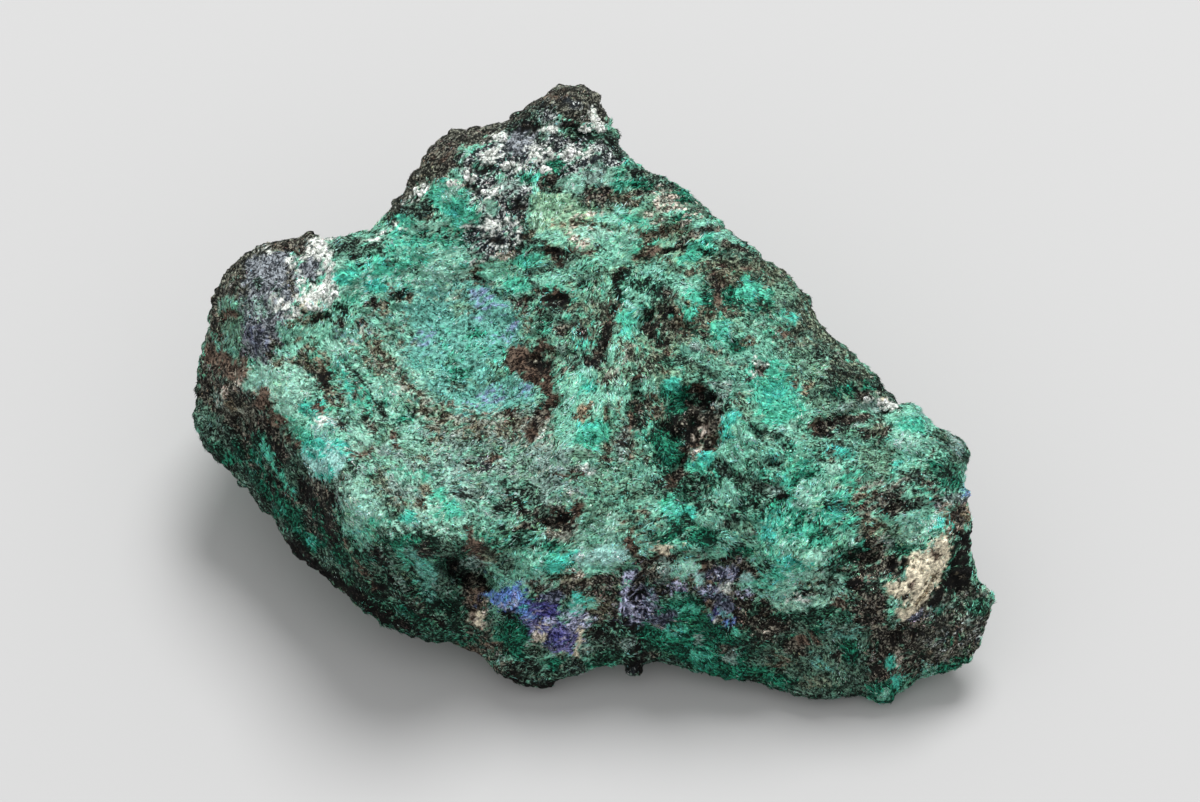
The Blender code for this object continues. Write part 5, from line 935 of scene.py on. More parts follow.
# Hollows sunk in the face and lumps that stand on it: (u, v, half width, half height, turn, rise).
RELIEF_SPOTS = [
    (9.6, 0.2, 1.5, 1.2, 0, -1.3), (10.6, -3.4, 1.5, 1.6, 0, -1.2), (7.0, -3.0, 1.3, 0.6, -45, -1.0),
    (9.2, -1.3, 0.7, 0.5, 10, 0.8), (8.3, -2.4, 0.5, 0.5, 0, 0.6), (11.4, -0.6, 0.8, 0.4, 0, 0.5),
    (11.4, -2.6, 0.5, 0.5, 0, 0.5), (8.0, -6.8, 0.7, 1.6, -25, -0.8), (-14.0, -17.0, 1.8, 1.0, -30, -1.5),
    (-11.8, -18.0, 1.2, 0.7, -30, -1.0), (-4.6, -11.9, 1.7, 0.9, -10, -0.8), (-7.6, -9.0, 1.0, 0.6, 0, -0.4),
    (16.2, 3.2, 0.6, 0.5, 0, -0.6), (4.6, 7.6, 0.9, 1.4, 0, -0.6), (6.5, 10.9, 1.0, 0.6, 0, -0.5),
    (-4.2, 10.0, 1.6, 0.7, -10, -0.5), (-4.4, 14.6, 1.3, 0.7, -20, -0.4), (-6.2, 3.8, 1.5, 0.9, -20, -0.4),
    (-8.2, 4.3, 0.9, 1.0, 0, 0.25), (-0.4, 5.4, 0.9, 1.6, 10, -0.5), (-2.6, 6.6, 1.2, 0.8, 0, -0.4),
    (3.6, 0.2, 0.6, 1.5, 5, -0.5), (-7.6, 27.0, 1.4, 0.9, 0, -0.5), (-2.6, 27.0, 1.6, 0.5, 0, -0.7),
    (-11.6, 23.0, 1.2, 0.9, 0, -0.4), (-8.2, 19.4, 1.4, 0.9, 0, -0.4), (0.2, 20.4, 1.6, 1.0, 0, -0.3),
    (-4.6, 21.4, 1.4, 1.0, 0, -0.4), (-3.0, 29.8, 2.0, 1.2, 20, 0.5), (-17.2, 16.4, 1.4, 0.7, 10, -0.4),
    (-19.6, 10.6, 1.0, 0.6, 0, -0.4), (-25.8, 15.4, 1.1, 0.8, 0, 0.4), (-28.8, 12.8, 1.0, 1.2, 10, -0.3),
    (-31.6, -2.0, 1.4, 0.8, -30, -0.3), (-25.4, 4.0, 0.5, 0.7, 30, -0.35), (-23.4, 0.3, 0.9, 0.5, 0, -0.35),
    (-23.4, -2.4, 0.5, 1.2, 0, -0.3), (-24.2, -4.9, 0.8, 0.5, 0, -0.4), (17.0, -6.2, 1.0, 0.7, 0, -0.5),
    (16.6, -9.0, 1.6, 0.8, 10, -0.6), (9.8, -9.6, 1.3, 1.8, 0, -0.6), (13.8, -12.4, 1.6, 0.6, 0, -0.5),
    (14.6, -14.6, 1.4, 0.6, 0, -0.5), (22.4, -2.8, 1.3, 0.9, 0, -0.7), (24.0, -2.0, 1.2, 0.8, 0, -0.4),
    (27.6, -0.7, 1.8, 0.6, -20, -0.6), (29.0, -10.4, 1.6, 0.9, 0, -0.6), (26.0, -15.4, 1.8, 1.0, 0, -0.8),
    (29.4, -16.4, 1.0, 0.6, 0, -0.5), (31.8, -17.2, 2.6, 0.9, 50, 0.45), (29.6, -18.2, 0.9, 0.8, 0, 0.4),
    (20.4, -12.8, 1.2, 0.9, 0, -0.4), (23.6, -17.4, 1.6, 0.6, 0, -0.5), (24.6, -10.8, 1.0, 0.6, 0, -0.35),
    (35.4, -11.6, 0.9, 0.8, 0, -0.4), (-6.0, -21.2, 1.3, 0.9, -20, -0.5), (-9.4, -19.7, 1.6, 0.7, 0, 0.25),
    (-4.2, -23.8, 1.9, 1.0, 0, 0.3), (-2.4, -20.3, 0.8, 0.9, 0, 0.35), (-2.4, -21.6, 1.2, 0.5, -20, 0.3),
    (4.0, -18.8, 0.6, 1.4, -10, -0.5), (2.8, -19.0, 0.6, 1.2, 0, 0.3), (13.4, -19.6, 1.8, 1.6, 0, -0.5),
    (6.4, -18.8, 1.2, 0.5, 0, -0.4), (0.4, -15.6, 2.2, 0.9, -5, 0.5), (-4.6, -16.0, 1.6, 0.6, 0, 0.35),
    (16.4, -21.6, 1.0, 1.6, 0, -0.5), (22.2, -25.6, 1.6, 1.2, 0, 0.4), (3.4, -27.0, 0.8, 0.7, 0, 0.4),
    (28.4, -29.4, 0.9, 0.9, 0, 0.3),
]

# Grooves and ridges: (width, rise, [(u, v), ...]).
RELIEF_LINES = [
    (1.0, -0.8, [(1.8, 12.2), (1.8, 10.6), (1.3, 9.2), (0.8, 7.6), (0.4, 5.6), (0.2, 3.8)]),
    (0.8, -0.5, [(3.8, 1.8), (3.7, 0.2), (3.3, -1.2)]),
    (0.9, -0.6, [(6.6, 9.8), (5.4, 8.8), (4.6, 8.0), (4.6, 7.0), (5.6, 6.2), (6.8, 5.8)]),
    (0.8, -0.4, [(-3.6, 1.8), (-3.9, 0.4), (-5.0, -0.4), (-6.0, -1.2), (-6.7, -2.4)]),
    (0.6, -0.5, [(6.6, 14.9), (7.4, 15.2), (8.4, 15.3)]),
    (0.6, -0.45, [(9.0, 15.4), (10.2, 14.8), (12.0, 14.6), (13.0, 15.1)]),
    (0.5, -0.3, [(7.8, 15.8), (9.6, 16.8), (11.4, 17.1), (12.4, 17.2)]),
    (0.4, 0.25, [(4.2, 16.8), (6.4, 17.6), (9.0, 18.0)]),
    (0.4, -0.25, [(4.2, 16.2), (6.4, 16.9), (8.8, 17.3)]),
    (0.6, -0.35, [(12.0, 13.4), (14.4, 13.5), (16.6, 13.0), (18.2, 12.0)]),
    (0.7, -0.35, [(11.4, 12.8), (11.8, 11.0), (11.6, 9.6), (13.2, 9.0)]),
    (0.9, -0.4, [(-14.6, 12.2), (-12.8, 12.5), (-11.4, 11.6), (-10.6, 10.4), (-8.6, 10.0)]),
    (0.5, -0.3, [(-2.4, 17.9), (0.0, 17.3), (2.0, 16.9), (4.0, 16.7)]),
    (0.9, 0.5, [(-15.8, -14.0), (-14.0, -13.8), (-12.0, -14.0)]),
    (0.7, 0.5, [(23.2, -1.4), (24.5, -0.6), (25.8, -0.2), (27.0, 0.4)]),
    (0.6, -0.5, [(15.2, -2.4), (16.0, -3.4), (17.8, -3.6), (19.0, -4.8)]),
    (0.5, -0.4, [(26.4, -3.3), (27.6, -3.5), (28.8, -3.0)]),
    (0.6, -0.4, [(15.2, -10.4), (16.0, -10.8), (17.6, -9.8), (18.8, -9.8)]),
    (0.35, -0.3, [(-14.0, -8.7), (-13.2, -9.3), (-11.8, -9.5)]),
    (0.6, -0.4, [(2.9, -20.2), (3.6, -20.6), (4.4, -21.0)]),
    (1.2, -0.6, [(5.0, -15.9), (7.0, -15.8), (9.4, -15.6), (12.6, -15.6), (15.6, -16.2)]),
    (0.7, 0.3, [(-37.4, 0.8), (-36.0, 1.8), (-34.9, 2.4)]),
    (0.8, -0.5, [(12.0, -6.0), (12.6, -7.4), (14.4, -8.0), (16.0, -8.6)]),
    (0.7, -0.35, [(-31.2, 13.2), (-30.8, 11.2), (-30.3, 9.6), (-29.6, 8.7)]),
    (0.6, -0.4, [(0.8, -0.6), (0.6, -2.6), (0.9, -4.4), (0.7, -6.0)]),
]


# --- Shared helpers
def deselect_all():
    for thing in bpy.context.selected_objects:
        thing.select_set(False)


def make_active(thing):
    deselect_all()
    thing.select_set(True)
    bpy.context.view_layer.objects.active = thing


def apply_modifiers(thing):
    make_active(thing)
    for name in [modifier.name for modifier in thing.modifiers]:
        bpy.ops.object.modifier_apply(modifier=name)


def read(collection, name, width, count):
    flat = np.empty(count * width, np.float32)
    collection.foreach_get(name, flat)
    return flat.reshape(count, width).astype(float)


def coordinates(mesh):
    return read(mesh.vertices, "co", 3, len(mesh.vertices)) / MM


def normals(mesh):
    return read(mesh.vertices, "normal", 3, len(mesh.vertices))


BLOCK = 128
WAVE_STEPS = 5.0
WAVE_MIDDLE, WAVE_BAND = 0.8, 0.4
NOISE_SPREAD = 0.28
BLOCK_SHIFT = np.array([31.7, 17.3, 47.9])


def noise_block():
    """A repeating block of smooth noise whose waves are about WAVE_STEPS steps long."""
    wave = np.fft.fftfreq(BLOCK) * WAVE_STEPS
    far = np.sqrt(wave[:, None, None] ** 2 + wave[None, :, None] ** 2 + wave[None, None, :] ** 2)
    keep = np.exp(-(((far - WAVE_MIDDLE) / WAVE_BAND) ** 2))
    block = np.fft.ifftn(np.fft.fftn(random.standard_normal((BLOCK,) * 3)) * keep).real
    return (block / block.std() * NOISE_SPREAD).astype(np.float32).ravel()


random = np.random.default_rng(SEED)
NOISE = noise_block()


def noise_at(points, wavelength, shift=0.0):
    """Smooth noise, from about -1 to 1. Each use has a shift of its own, so that no two look alike."""
    place = points * (WAVE_STEPS / wavelength) + shift * BLOCK_SHIFT
    base = np.floor(place)
    part = (place - base).astype(np.float32)
    low = base.astype(np.int64) % BLOCK
    high = (low + 1) % BLOCK
    total = np.zeros(len(points), np.float32)
    for x, share_x in ((low[:, 0], 1.0 - part[:, 0]), (high[:, 0], part[:, 0])):
        for y, share_y in ((low[:, 1], 1.0 - part[:, 1]), (high[:, 1], part[:, 1])):
            row = (x * BLOCK + y) * BLOCK
            near, far = NOISE[row + low[:, 2]], NOISE[row + high[:, 2]]
            total += share_x * share_y * (near + part[:, 2] * (far - near))
    return total.astype(float)


VECTOR_SHIFTS = (0.37, 0.71, 1.93)


def noise_vectors_at(points, wavelength, shift=0.0):
    return np.column_stack([noise_at(points, wavelength, shift + own) for own in VECTOR_SHIFTS])


def drawn_noise(points, along, wavelength, reach, shift=0.0, steps=5):
    """Noise drawn out along a direction, so that it makes streaks up to reach long."""
    total = np.zeros(len(points))
    for offset in np.linspace(-0.5, 0.5, steps):
        total += noise_at(points + along * (offset * reach), wavelength, shift)
    return total / math.sqrt(steps)


def smoothstep(low, high, value):
    part = np.clip((value - low) / (high - low), 0.0, 1.0)
    return part * part * (3.0 - 2.0 * part)


# The logistic curve that comes closest to the bell curve's own sum is this steep.
BELL_STEEPNESS = 1.7


def even_share(values):
    """Turns bell-shaped noise into values spread evenly from 0 to 1."""
    return 1.0 / (1.0 + np.exp(-BELL_STEEPNESS * values / values.std()))


def linear(colour):
    """The share of light that a colour sends back, from the colour as it looks (0 to 255)."""
    part = np.array(colour, float) / 255.0
    return np.where(part <= 0.04045, part / 12.92, ((part + 0.055) / 1.055) ** 2.4)


def unit(vectors):
    return vectors / np.maximum(np.linalg.norm(vectors, axis=1, keepdims=True), 1e-9)


def store(mesh, name, kind, values):
    """Writes a named attribute that the materials read."""
    attribute = mesh.attributes.new(name, kind, "POINT")
    if kind == "FLOAT_COLOR":
        values = np.column_stack([values, np.ones(len(values))])
        attribute.data.foreach_set("color", values.astype(np.float32).ravel())
    elif kind == "FLOAT_VECTOR":
        attribute.data.foreach_set("vector", values.astype(np.float32).ravel())
    else:
        attribute.data.foreach_set("value", values.astype(np.float32))


# --- Tufts: the lump is a mass of small sprays, each with its own middle
TUFT = 1.55
TUFT_WOBBLE = 0.22
JITTER_CELLS = 32
JITTER = random.random((JITTER_CELLS,) * 3 + (3,))


def tufts_at(points):
    """The middle of the tuft that each point belongs to, and how far it is from the tuft's edge."""
    place = (points + noise_vectors_at(points, 0.8, 5.0) * TUFT_WOBBLE) / TUFT
    base = np.floor(place).astype(int)
    nearest = np.full(len(points), np.inf)
    second = nearest.copy()
    middle = np.zeros((len(points), 3))
    for step in itertools.product((-1, 0, 1), repeat=3):
        cell = base + step
        root = cell + JITTER[tuple((cell % JITTER_CELLS).T)]
        far = np.linalg.norm(place - root, axis=1)
        closer = far < nearest
        second = np.where(closer, nearest, np.minimum(second, far))
        nearest = np.where(closer, far, nearest)
        middle[closer] = root[closer]
    return middle * TUFT, (second - nearest) * TUFT


# --- The coat: what grains the ground has at any point of the lump
BEHIND_FADE = 6.0
CLOT_SETS = 3
CLOT_EDGE = 0.09
# What a clot is made of: so much of its tuft, of strands and of specks.
CLOT_TUFT, CLOT_STRAND, CLOT_SPECK = 0.5, 0.6, 0.45
# How the outlines of marks wobble: (wave, shift, reach).
OUTLINE_WOBBLE = [(2.2, 0.0, 0.35), (0.9, 7.0, 0.38), (0.4, 13.0, 0.2)]
# A mark dies away outside its outline over this many times its softness.
DYING_AWAY = 1.8
# The clouds on the back: how far they are followed, and how ragged they are, coarse and fine.
BACK_FOLLOWED = 1.8
BACK_COARSE, BACK_FINE = 0.9, 0.5
BACK_EDGE = (0.5, 1.2)
# The broken back: ledges, how ragged they and the cracks are, the band of painted shade at each ledge's foot,
# and how wide a crack is.
LEDGE_STEPS = 4.0
LEDGE_RAGGED, CRACK_RAGGED = 0.22, 0.2
LEDGE_SLOPE, LEDGE_FOOT_SHADE_BAND = (0.2, 0.6), (0.15, 0.5)
CRACK_EDGE = (0.015, 0.07)
# Broad clouds, mixed over the whole lump: (tone, wave, shift, from, to, share on the face).
CLOUDS = [
    ("bright", 5.0, 3.0, -0.1, 0.5, 0.5), ("deep", 4.0, 9.0, -0.1, 0.5, 0.5),
    ("mint", 3.4, 12.0, -0.2, 0.4, 0.7), ("sage", 3.6, 15.0, -0.1, 0.5, 0.35),
    ("black_green", 3.0, 18.0, 0.1, 0.7, 0.45), ("taupe", 3.0, 21.0, 0.15, 0.7, 0.4),
    ("black_brown", 6.0, 27.0, 0.0, 0.3, 0.0), ("emerald", 4.4, 33.0, 0.1, 0.4, 0.2),
    ("rim_grit", 5.2, 39.0, 0.1, 0.4, 0.0),
]
# Fine strands drawn out along the comb: (tone, wave, length, shift, from, to, share).
STRANDS = [
    ("sage", 1.0, 3.4, 2.0, 0.1, 0.6, 0.6), ("pale_mint", 0.8, 3.0, 4.0, 0.2, 0.7, 0.55),
    ("dust", 0.8, 3.4, 6.0, 0.25, 0.7, 0.6), ("deep", 0.9, 3.0, 8.0, 0.15, 0.7, 0.5),
    ("bright", 0.9, 3.0, 10.0, 0.15, 0.7, 0.55), ("umber", 0.7, 3.2, 14.0, 0.4, 0.9, 0.4),
    ("black_green", 0.8, 3.4, 16.0, 0.35, 0.9, 0.5),
]
# Painted shade on the hidden sides: how much dark brown goes at the foot of each ledge, and how much pitch
# goes in the cracks.
LEDGE_FOOT_SHADE_SHARE, CRACK_SHADE_SHARE = 0.5, 0.9


def seen_from_front(points, tree):
    """1 where a point lies on the face, falling to 0 well behind it."""
    eye = Vector(EYE)
    seen = np.zeros(len(points))
    for index, point in enumerate(points.tolist()):
        line = Vector(point) - eye
        hit = tree.ray_cast(eye, line.normalized())[3]
        gap = line.length - hit if hit else 0.0
        seen[index] = 1.0 - gap / BEHIND_FADE
    return np.clip(seen, 0.0, 1.0)


def ledges_at(points):
    """The broken back: how high each point's ledge is, how near a ledge's foot, where shade is painted, and
    how near a crack.
    """
    swell = (noise_at(points, 9.0, 161.0) + noise_at(points, 3.2, 163.0) * LEDGE_RAGGED) * LEDGE_STEPS
    level = np.floor(swell)
    part = swell - level
    gap = np.abs(noise_at(points, 10.0, 167.0) + noise_at(points, 2.8, 169.0) * CRACK_RAGGED)
    foot = smoothstep(0.0, LEDGE_FOOT_SHADE_BAND[0], part) - smoothstep(*LEDGE_FOOT_SHADE_BAND, part)
    return level + smoothstep(*LEDGE_SLOPE, part), foot, 1.0 - smoothstep(*CRACK_EDGE, gap)


class Coat:
    """Light colour, dark colour, cover, grain kind and grain length of many points.

    A mark doesn't fade in: it takes over clot by clot, so that marks bite into each other."""

    def __init__(self, points, seen, comb, middles):
        self.comb = comb
        count = len(points)
        wash, ground, cover, kind, grain = TONES["felt"]
        self.light = np.tile(linear(wash), (count, 1))
        self.dark = np.tile(linear(ground), (count, 1))
        self.cover = np.full(count, cover)
        self.kinds = np.zeros((count, 4))
        self.kinds[:, kind] = 1.0
        self.grain = np.full(count, grain)
        self.clots = [even_share(noise_at(middles, 0.31, 11.0 * number) * CLOT_TUFT
                                 + drawn_noise(points, comb, 0.75, 0.9, 13.0 * number, 3) * CLOT_STRAND
                                 + noise_at(points, 0.34, 17.0 * number) * CLOT_SPECK)
                      for number in range(1, CLOT_SETS + 1)]
        self.put_clouds(points, seen)
        self.put_marks(points, seen)

    def paint(self, tone, mask, where=slice(None)):
        wash, ground, cover, kind, grain = TONES[tone]
        clots = self.clots[list(TONES).index(tone) % CLOT_SETS][where]
        mask = smoothstep(-CLOT_EDGE, CLOT_EDGE, mask * (1.0 + CLOT_EDGE) - clots)
        part = mask[:, None]
        self.light[where] += part * (linear(wash) - self.light[where])
        self.dark[where] += part * (linear(ground) - self.dark[where])
        self.cover[where] += mask * (cover - self.cover[where])
        self.grain[where] += mask * (grain - self.grain[where])
        own = np.zeros(4)
        own[kind] = 1.0
        self.kinds[where] += part * (own - self.kinds[where])

    def put_clouds(self, points, seen):
        hidden = 1.0 - seen
        for tone, wavelength, shift, low, high, on_face in CLOUDS:
            cloud = smoothstep(low, high, noise_at(points, wavelength, shift))
            self.paint(tone, cloud * (on_face * seen + hidden))
        for tone, wavelength, reach, shift, low, high, share in STRANDS:
            strands = drawn_noise(points, self.comb, wavelength, reach, shift, 6)
            self.paint(tone, smoothstep(low, high, strands) * share)
        for tone, centre, reach, share in BACK_MARKS:
            far = np.linalg.norm(points - np.array(centre), axis=1) / reach
            where = np.flatnonzero((far < BACK_FOLLOWED) & (hidden > 0.0))
            ragged = (far[where] + noise_at(points[where], reach * 0.45, 51.0) * BACK_COARSE
                      + noise_at(points[where], 1.9, 57.0) * BACK_FINE)
            mask = 1.0 - smoothstep(*BACK_EDGE, ragged)
            self.paint(tone, mask * share * hidden[where], where)
        # Painted shade at the foot of each ledge and in the cracks.
        painted_lee_shade, crack = ledges_at(points)[1:]
        self.paint("black_brown", painted_lee_shade * hidden * LEDGE_FOOT_SHADE_SHARE)
        self.paint("pitch", crack * hidden * CRACK_SHADE_SHARE)

    def put_marks(self, points, seen):
        u, v = on_plane(points)
        warp = sum(noise_vectors_at(points, wave, shift) * reach for wave, shift, reach in OUTLINE_WOBBLE)
        wu, wv = u + warp[:, 0], v + warp[:, 1]
        front = seen > 0.0
        for tone, share, (left, right, low, high), outside, soft in FACE_MARKS:
            where = np.flatnonzero(front & (wu > left) & (wu < right) & (wv > low) & (wv < high))
            if len(where):
                mask = 1.0 - smoothstep(-soft, soft * DYING_AWAY, outside(wu[where], wv[where]))
                self.paint(tone, mask * share * seen[where], where)


# How widely one line of the comb is felt, in square millimetres.
COMB_BLUR = 2.0
# How the grains sway from the comb: (wave, shift, turn in radians).
COMB_SWAY = [(3.2, 61.0, 0.9), (1.1, 67.0, 0.6)]


def combed(points, seen, surface_normals):
    """The direction that the grains lie in, along the surface."""
    u, v = on_plane(points)
    places = np.array(COMB, float)
    # Lines have no head or tail, so angles are averaged doubled.
    away = (u[:, None] - places[:, 0]) ** 2 + (v[:, None] - places[:, 1]) ** 2
    weight = 1.0 / (away + COMB_BLUR) ** 2
    doubled = np.radians(places[:, 2]) * 2.0
    angle = np.arctan2(weight @ np.sin(doubled), weight @ np.cos(doubled)) * 0.5
    for wave, shift, turn in COMB_SWAY:
        angle = angle + noise_at(points, wave, shift) * turn
    on_face = np.outer(np.cos(angle), ACROSS) + np.outer(np.sin(angle), PLANE_UP)
    behind = unit(noise_vectors_at(points, 9.0, 71.0))
    line = on_face * seen[:, None] + behind * (1.0 - seen[:, None])
    line = line - surface_normals * np.sum(line * surface_normals, axis=1)[:, None]
    return unit(line)


# --- Shader pieces
class Wiring:
    """Adds nodes to a tree and links them."""

    def __init__(self, tree):
        self.tree = tree

    def add(self, kind, inputs=(), **settings):
        made = self.tree.nodes.new(kind)
        for name, value in settings.items():
            setattr(made, name, value)
        for key, value in dict(inputs).items():
            if isinstance(value, bpy.types.NodeSocket):
                self.tree.links.new(value, made.inputs[key])
            else:
                made.inputs[key].default_value = value
        return made

    def math(self, operation, *values):
        return self.add("ShaderNodeMath", dict(enumerate(values)), operation=operation).outputs[0]

    def vector(self, operation, *values):
        made = self.add("ShaderNodeVectorMath", dict(enumerate(values)), operation=operation)
        return made.outputs["Value" if operation == "DOT_PRODUCT" else "Vector"]

    def scale(self, vector, factor):
        return self.add("ShaderNodeVectorMath", {0: vector, 3: factor}, operation="SCALE").outputs[0]

    def mix(self, factor, a, b):
        return self.add("ShaderNodeMix", {0: factor, 6: a, 7: b}, data_type="RGBA").outputs[2]

    def noise(self, place, scale, detail=2.0, roughness=0.6, output=0):
        inputs = {"Vector": place, "Scale": scale, "Detail": detail, "Roughness": roughness}
        return self.add("ShaderNodeTexNoise", inputs).outputs[output]

    def ramp(self, value, low, high, to_low=0.0, to_high=1.0):
        inputs = {"Value": value, 1: low, 2: high, 3: to_low, 4: to_high}
        return self.add("ShaderNodeMapRange", inputs, interpolation_type="SMOOTHSTEP").outputs[0]

    def attribute(self, name, output="Color"):
        return self.add("ShaderNodeAttribute", attribute_name=name).outputs[output]


def new_group(name, inputs, outputs):
    """A shader node group with named sockets."""
    group = bpy.data.node_groups.new(name, "ShaderNodeTree")
    for label, (kind, default) in inputs.items():
        socket = group.interface.new_socket(label, in_out="INPUT", socket_type=kind)
        if default is not None:
            socket.default_value = default
    for label in outputs:
        group.interface.new_socket(label, in_out="OUTPUT", socket_type="NodeSocketFloat")
    wire = Wiring(group)
    return group, wire, wire.add("NodeGroupInput").outputs, wire.add("NodeGroupOutput").inputs


# The felt: how fine its tufts and fibres are, and how far the fibres are drawn out.
TUFT_FINENESS, FIBRE_FINENESS, FIBRE_STRETCH = 740.0, 4200.0, 0.78
# How ragged a tuft's edge is, in millimetres, how far tufts turn off the comb, and how unlike they are.
FRAY_FINENESS, FRAY = 1400.0, 0.6
TUFT_TURN, TUFT_SHIFT = 1.5, 0.05


def felt_group():
    """Fibres laid in small tufts: every tuft keeps to the comb, give or take its own turn."""
    inputs = {"Comb": ("NodeSocketVector", None), "Tufts": ("NodeSocketFloat", TUFT_FINENESS),
              "Fineness": ("NodeSocketFloat", FIBRE_FINENESS), "Stretch": ("NodeSocketFloat", FIBRE_STRETCH)}
    group, wire, given, out = new_group("felt", inputs, ["Fibre"])
    place = wire.add("ShaderNodeTexCoord").outputs["Object"]
    frayed = wire.scale(wire.noise(place, FRAY_FINENESS, output="Color"), FRAY * MM)
    shaken = wire.vector("ADD", place, frayed)
    cells = wire.add("ShaderNodeTexVoronoi", {"Vector": shaken, "Scale": given["Tufts"]})
    local = wire.vector("SUBTRACT", shaken, cells.outputs["Position"])
    turn = wire.scale(wire.vector("SUBTRACT", cells.outputs["Color"], (0.5, 0.5, 0.5)), TUFT_TURN)
    line = wire.vector("NORMALIZE", wire.vector("ADD", given["Comb"], turn))
    along = wire.math("MULTIPLY", wire.vector("DOT_PRODUCT", local, line), given["Stretch"])
    squeezed = wire.vector("SUBTRACT", local, wire.scale(line, along))
    moved = wire.vector("ADD", squeezed, wire.scale(cells.outputs["Color"], TUFT_SHIFT))
    fibre = wire.noise(moved, given["Fineness"])
    wire.tree.links.new(fibre, out["Fibre"])
    return group


# The mottle is mixed from clots, grit and fibres: how fine each is, and its share.
CLOT_FINENESS, GRIT_FINENESS, SHADE_FINENESS = 900.0, 3600.0, 2200.0
MOTTLE_CLOTS, MOTTLE_GRIT, MOTTLE_FIBRE = 0.35, 0.3, 0.35
# The level that the mix has to pass, on bare and on covered ground, and how soft the step is.
LEVEL_BARE, LEVEL_COVERED, LEVEL_EDGE = 0.64, 0.36, 0.045
GRIT_SHADE = (0.5, 1.4)


def mottle_group():
    """How light and dark grains share the ground."""
    inputs = {"Cover": ("NodeSocketFloat", 0.5), "Fibre": ("NodeSocketFloat", 0.5)}
    group, wire, given, out = new_group("mottle", inputs, ["Light", "Shade"])
    place = wire.add("ShaderNodeTexCoord").outputs["Object"]
    clots = wire.math("MULTIPLY", wire.noise(place, CLOT_FINENESS, 3.0, 0.7), MOTTLE_CLOTS)
    grit = wire.math("MULTIPLY", wire.noise(place, GRIT_FINENESS), MOTTLE_GRIT)
    fibres = wire.math("MULTIPLY", given["Fibre"], MOTTLE_FIBRE)
    mixed = wire.math("ADD", wire.math("ADD", clots, grit), fibres)
    level = wire.ramp(given["Cover"], 0.0, 1.0, LEVEL_BARE, LEVEL_COVERED)
    above = wire.math("SUBTRACT", mixed, level)
    wire.tree.links.new(wire.ramp(above, -LEVEL_EDGE, LEVEL_EDGE), out["Light"])
    shade = wire.ramp(wire.noise(place, SHADE_FINENESS), 0.25, 0.75, *GRIT_SHADE)
    wire.tree.links.new(shade, out["Shade"])
    return group


ORE_ROUGHNESS, ORE_SHINE = 0.85, 0.15
BUMP_STRENGTH, BUMP_HEIGHT = 0.8, 0.12
FIBRE_SHADE = (0.4, 1.3)


def ore_material():
    material = bpy.data.materials.new("copper_ore")
    material.use_nodes = True
    wire = Wiring(material.node_tree)
    shader = material.node_tree.nodes["Principled BSDF"]
    felt = wire.add("ShaderNodeGroup", node_tree=felt_group())
    wire.tree.links.new(wire.attribute("comb", "Vector"), felt.inputs["Comb"])
    mottle = wire.add("ShaderNodeGroup", node_tree=mottle_group())
    wire.tree.links.new(wire.attribute("cover", "Fac"), mottle.inputs["Cover"])
    wire.tree.links.new(felt.outputs["Fibre"], mottle.inputs["Fibre"])
    body = wire.mix(mottle.outputs["Light"], wire.attribute("dark"), wire.attribute("light"))
    strands = wire.ramp(felt.outputs["Fibre"], 0.3, 0.7, *FIBRE_SHADE)
    shade = wire.math("MULTIPLY", strands, mottle.outputs["Shade"])
    wire.tree.links.new(wire.scale(body, shade), shader.inputs["Base Color"])
    shader.inputs["Roughness"].default_value = ORE_ROUGHNESS
    shader.inputs["Specular IOR Level"].default_value = ORE_SHINE
    height = wire.math("ADD", felt.outputs["Fibre"], mottle.outputs["Light"])
    bump = wire.add("ShaderNodeBump",
                    {"Strength": BUMP_STRENGTH, "Distance": BUMP_HEIGHT * MM, "Height": height})
    wire.tree.links.new(bump.outputs[0], shader.inputs["Normal"])
    return material


def grain_material(name, roughness, specular):
    """Grains that each keep the colour they grew with."""
    material = bpy.data.materials.new(name)
    material.use_nodes = True
    wire = Wiring(material.node_tree)
    shader = material.node_tree.nodes["Principled BSDF"]
    wire.tree.links.new(wire.attribute("tint"), shader.inputs["Base Color"])
    shader.inputs["Roughness"].default_value = roughness
    shader.inputs["Specular IOR Level"].default_value = specular
    return material


# --- The lump
ROCK_VOXEL = 0.31
SAME_PLACE = 1e-6
SOFTENINGS = 3
# How bright the ground under green needles on the face stays: the rest is painted shade for the gaps between
# them.
PAINTED_GAP_SHADE_LEVEL = 0.6
SHEET_GAP = 1.0
# How far the skin moves, in millimetres: broad breaks, sharp ridges, tufts and fine strands,
# and the ledges and cracks of the hidden sides.
BREAK_DEPTH = 0.34
RIDGE_DEPTH = 0.42
TUFT_RISE, TUFT_SPREAD = 0.22, 0.30
STRAND_DEPTH = 0.14
SKIN_LIFT = 0.02
LEDGE_RISE = 0.42
CRACK_DEPTH = 0.5
# The smooth blue hollow: its middle, half width and half height, its edge and how rough it still is.
HOLLOW = (-14.5, 5.0, 6.0, 6.5)
HOLLOW_EDGE = (0.7, 1.2)
HOLLOW_ROUGHNESS = 0.45
# Where a placed hollow and a placed groove start and end their slope, in shares of their half width.
SPOT_SLOPE, LINE_SLOPE = (0.55, 1.35), (0.4, 1.6)
RELIEF_WOBBLE = 0.35
# Ledges and cracks fade out between these heights, so that the lump still stands on its foot.
FOOT = (0.5, 4.0)


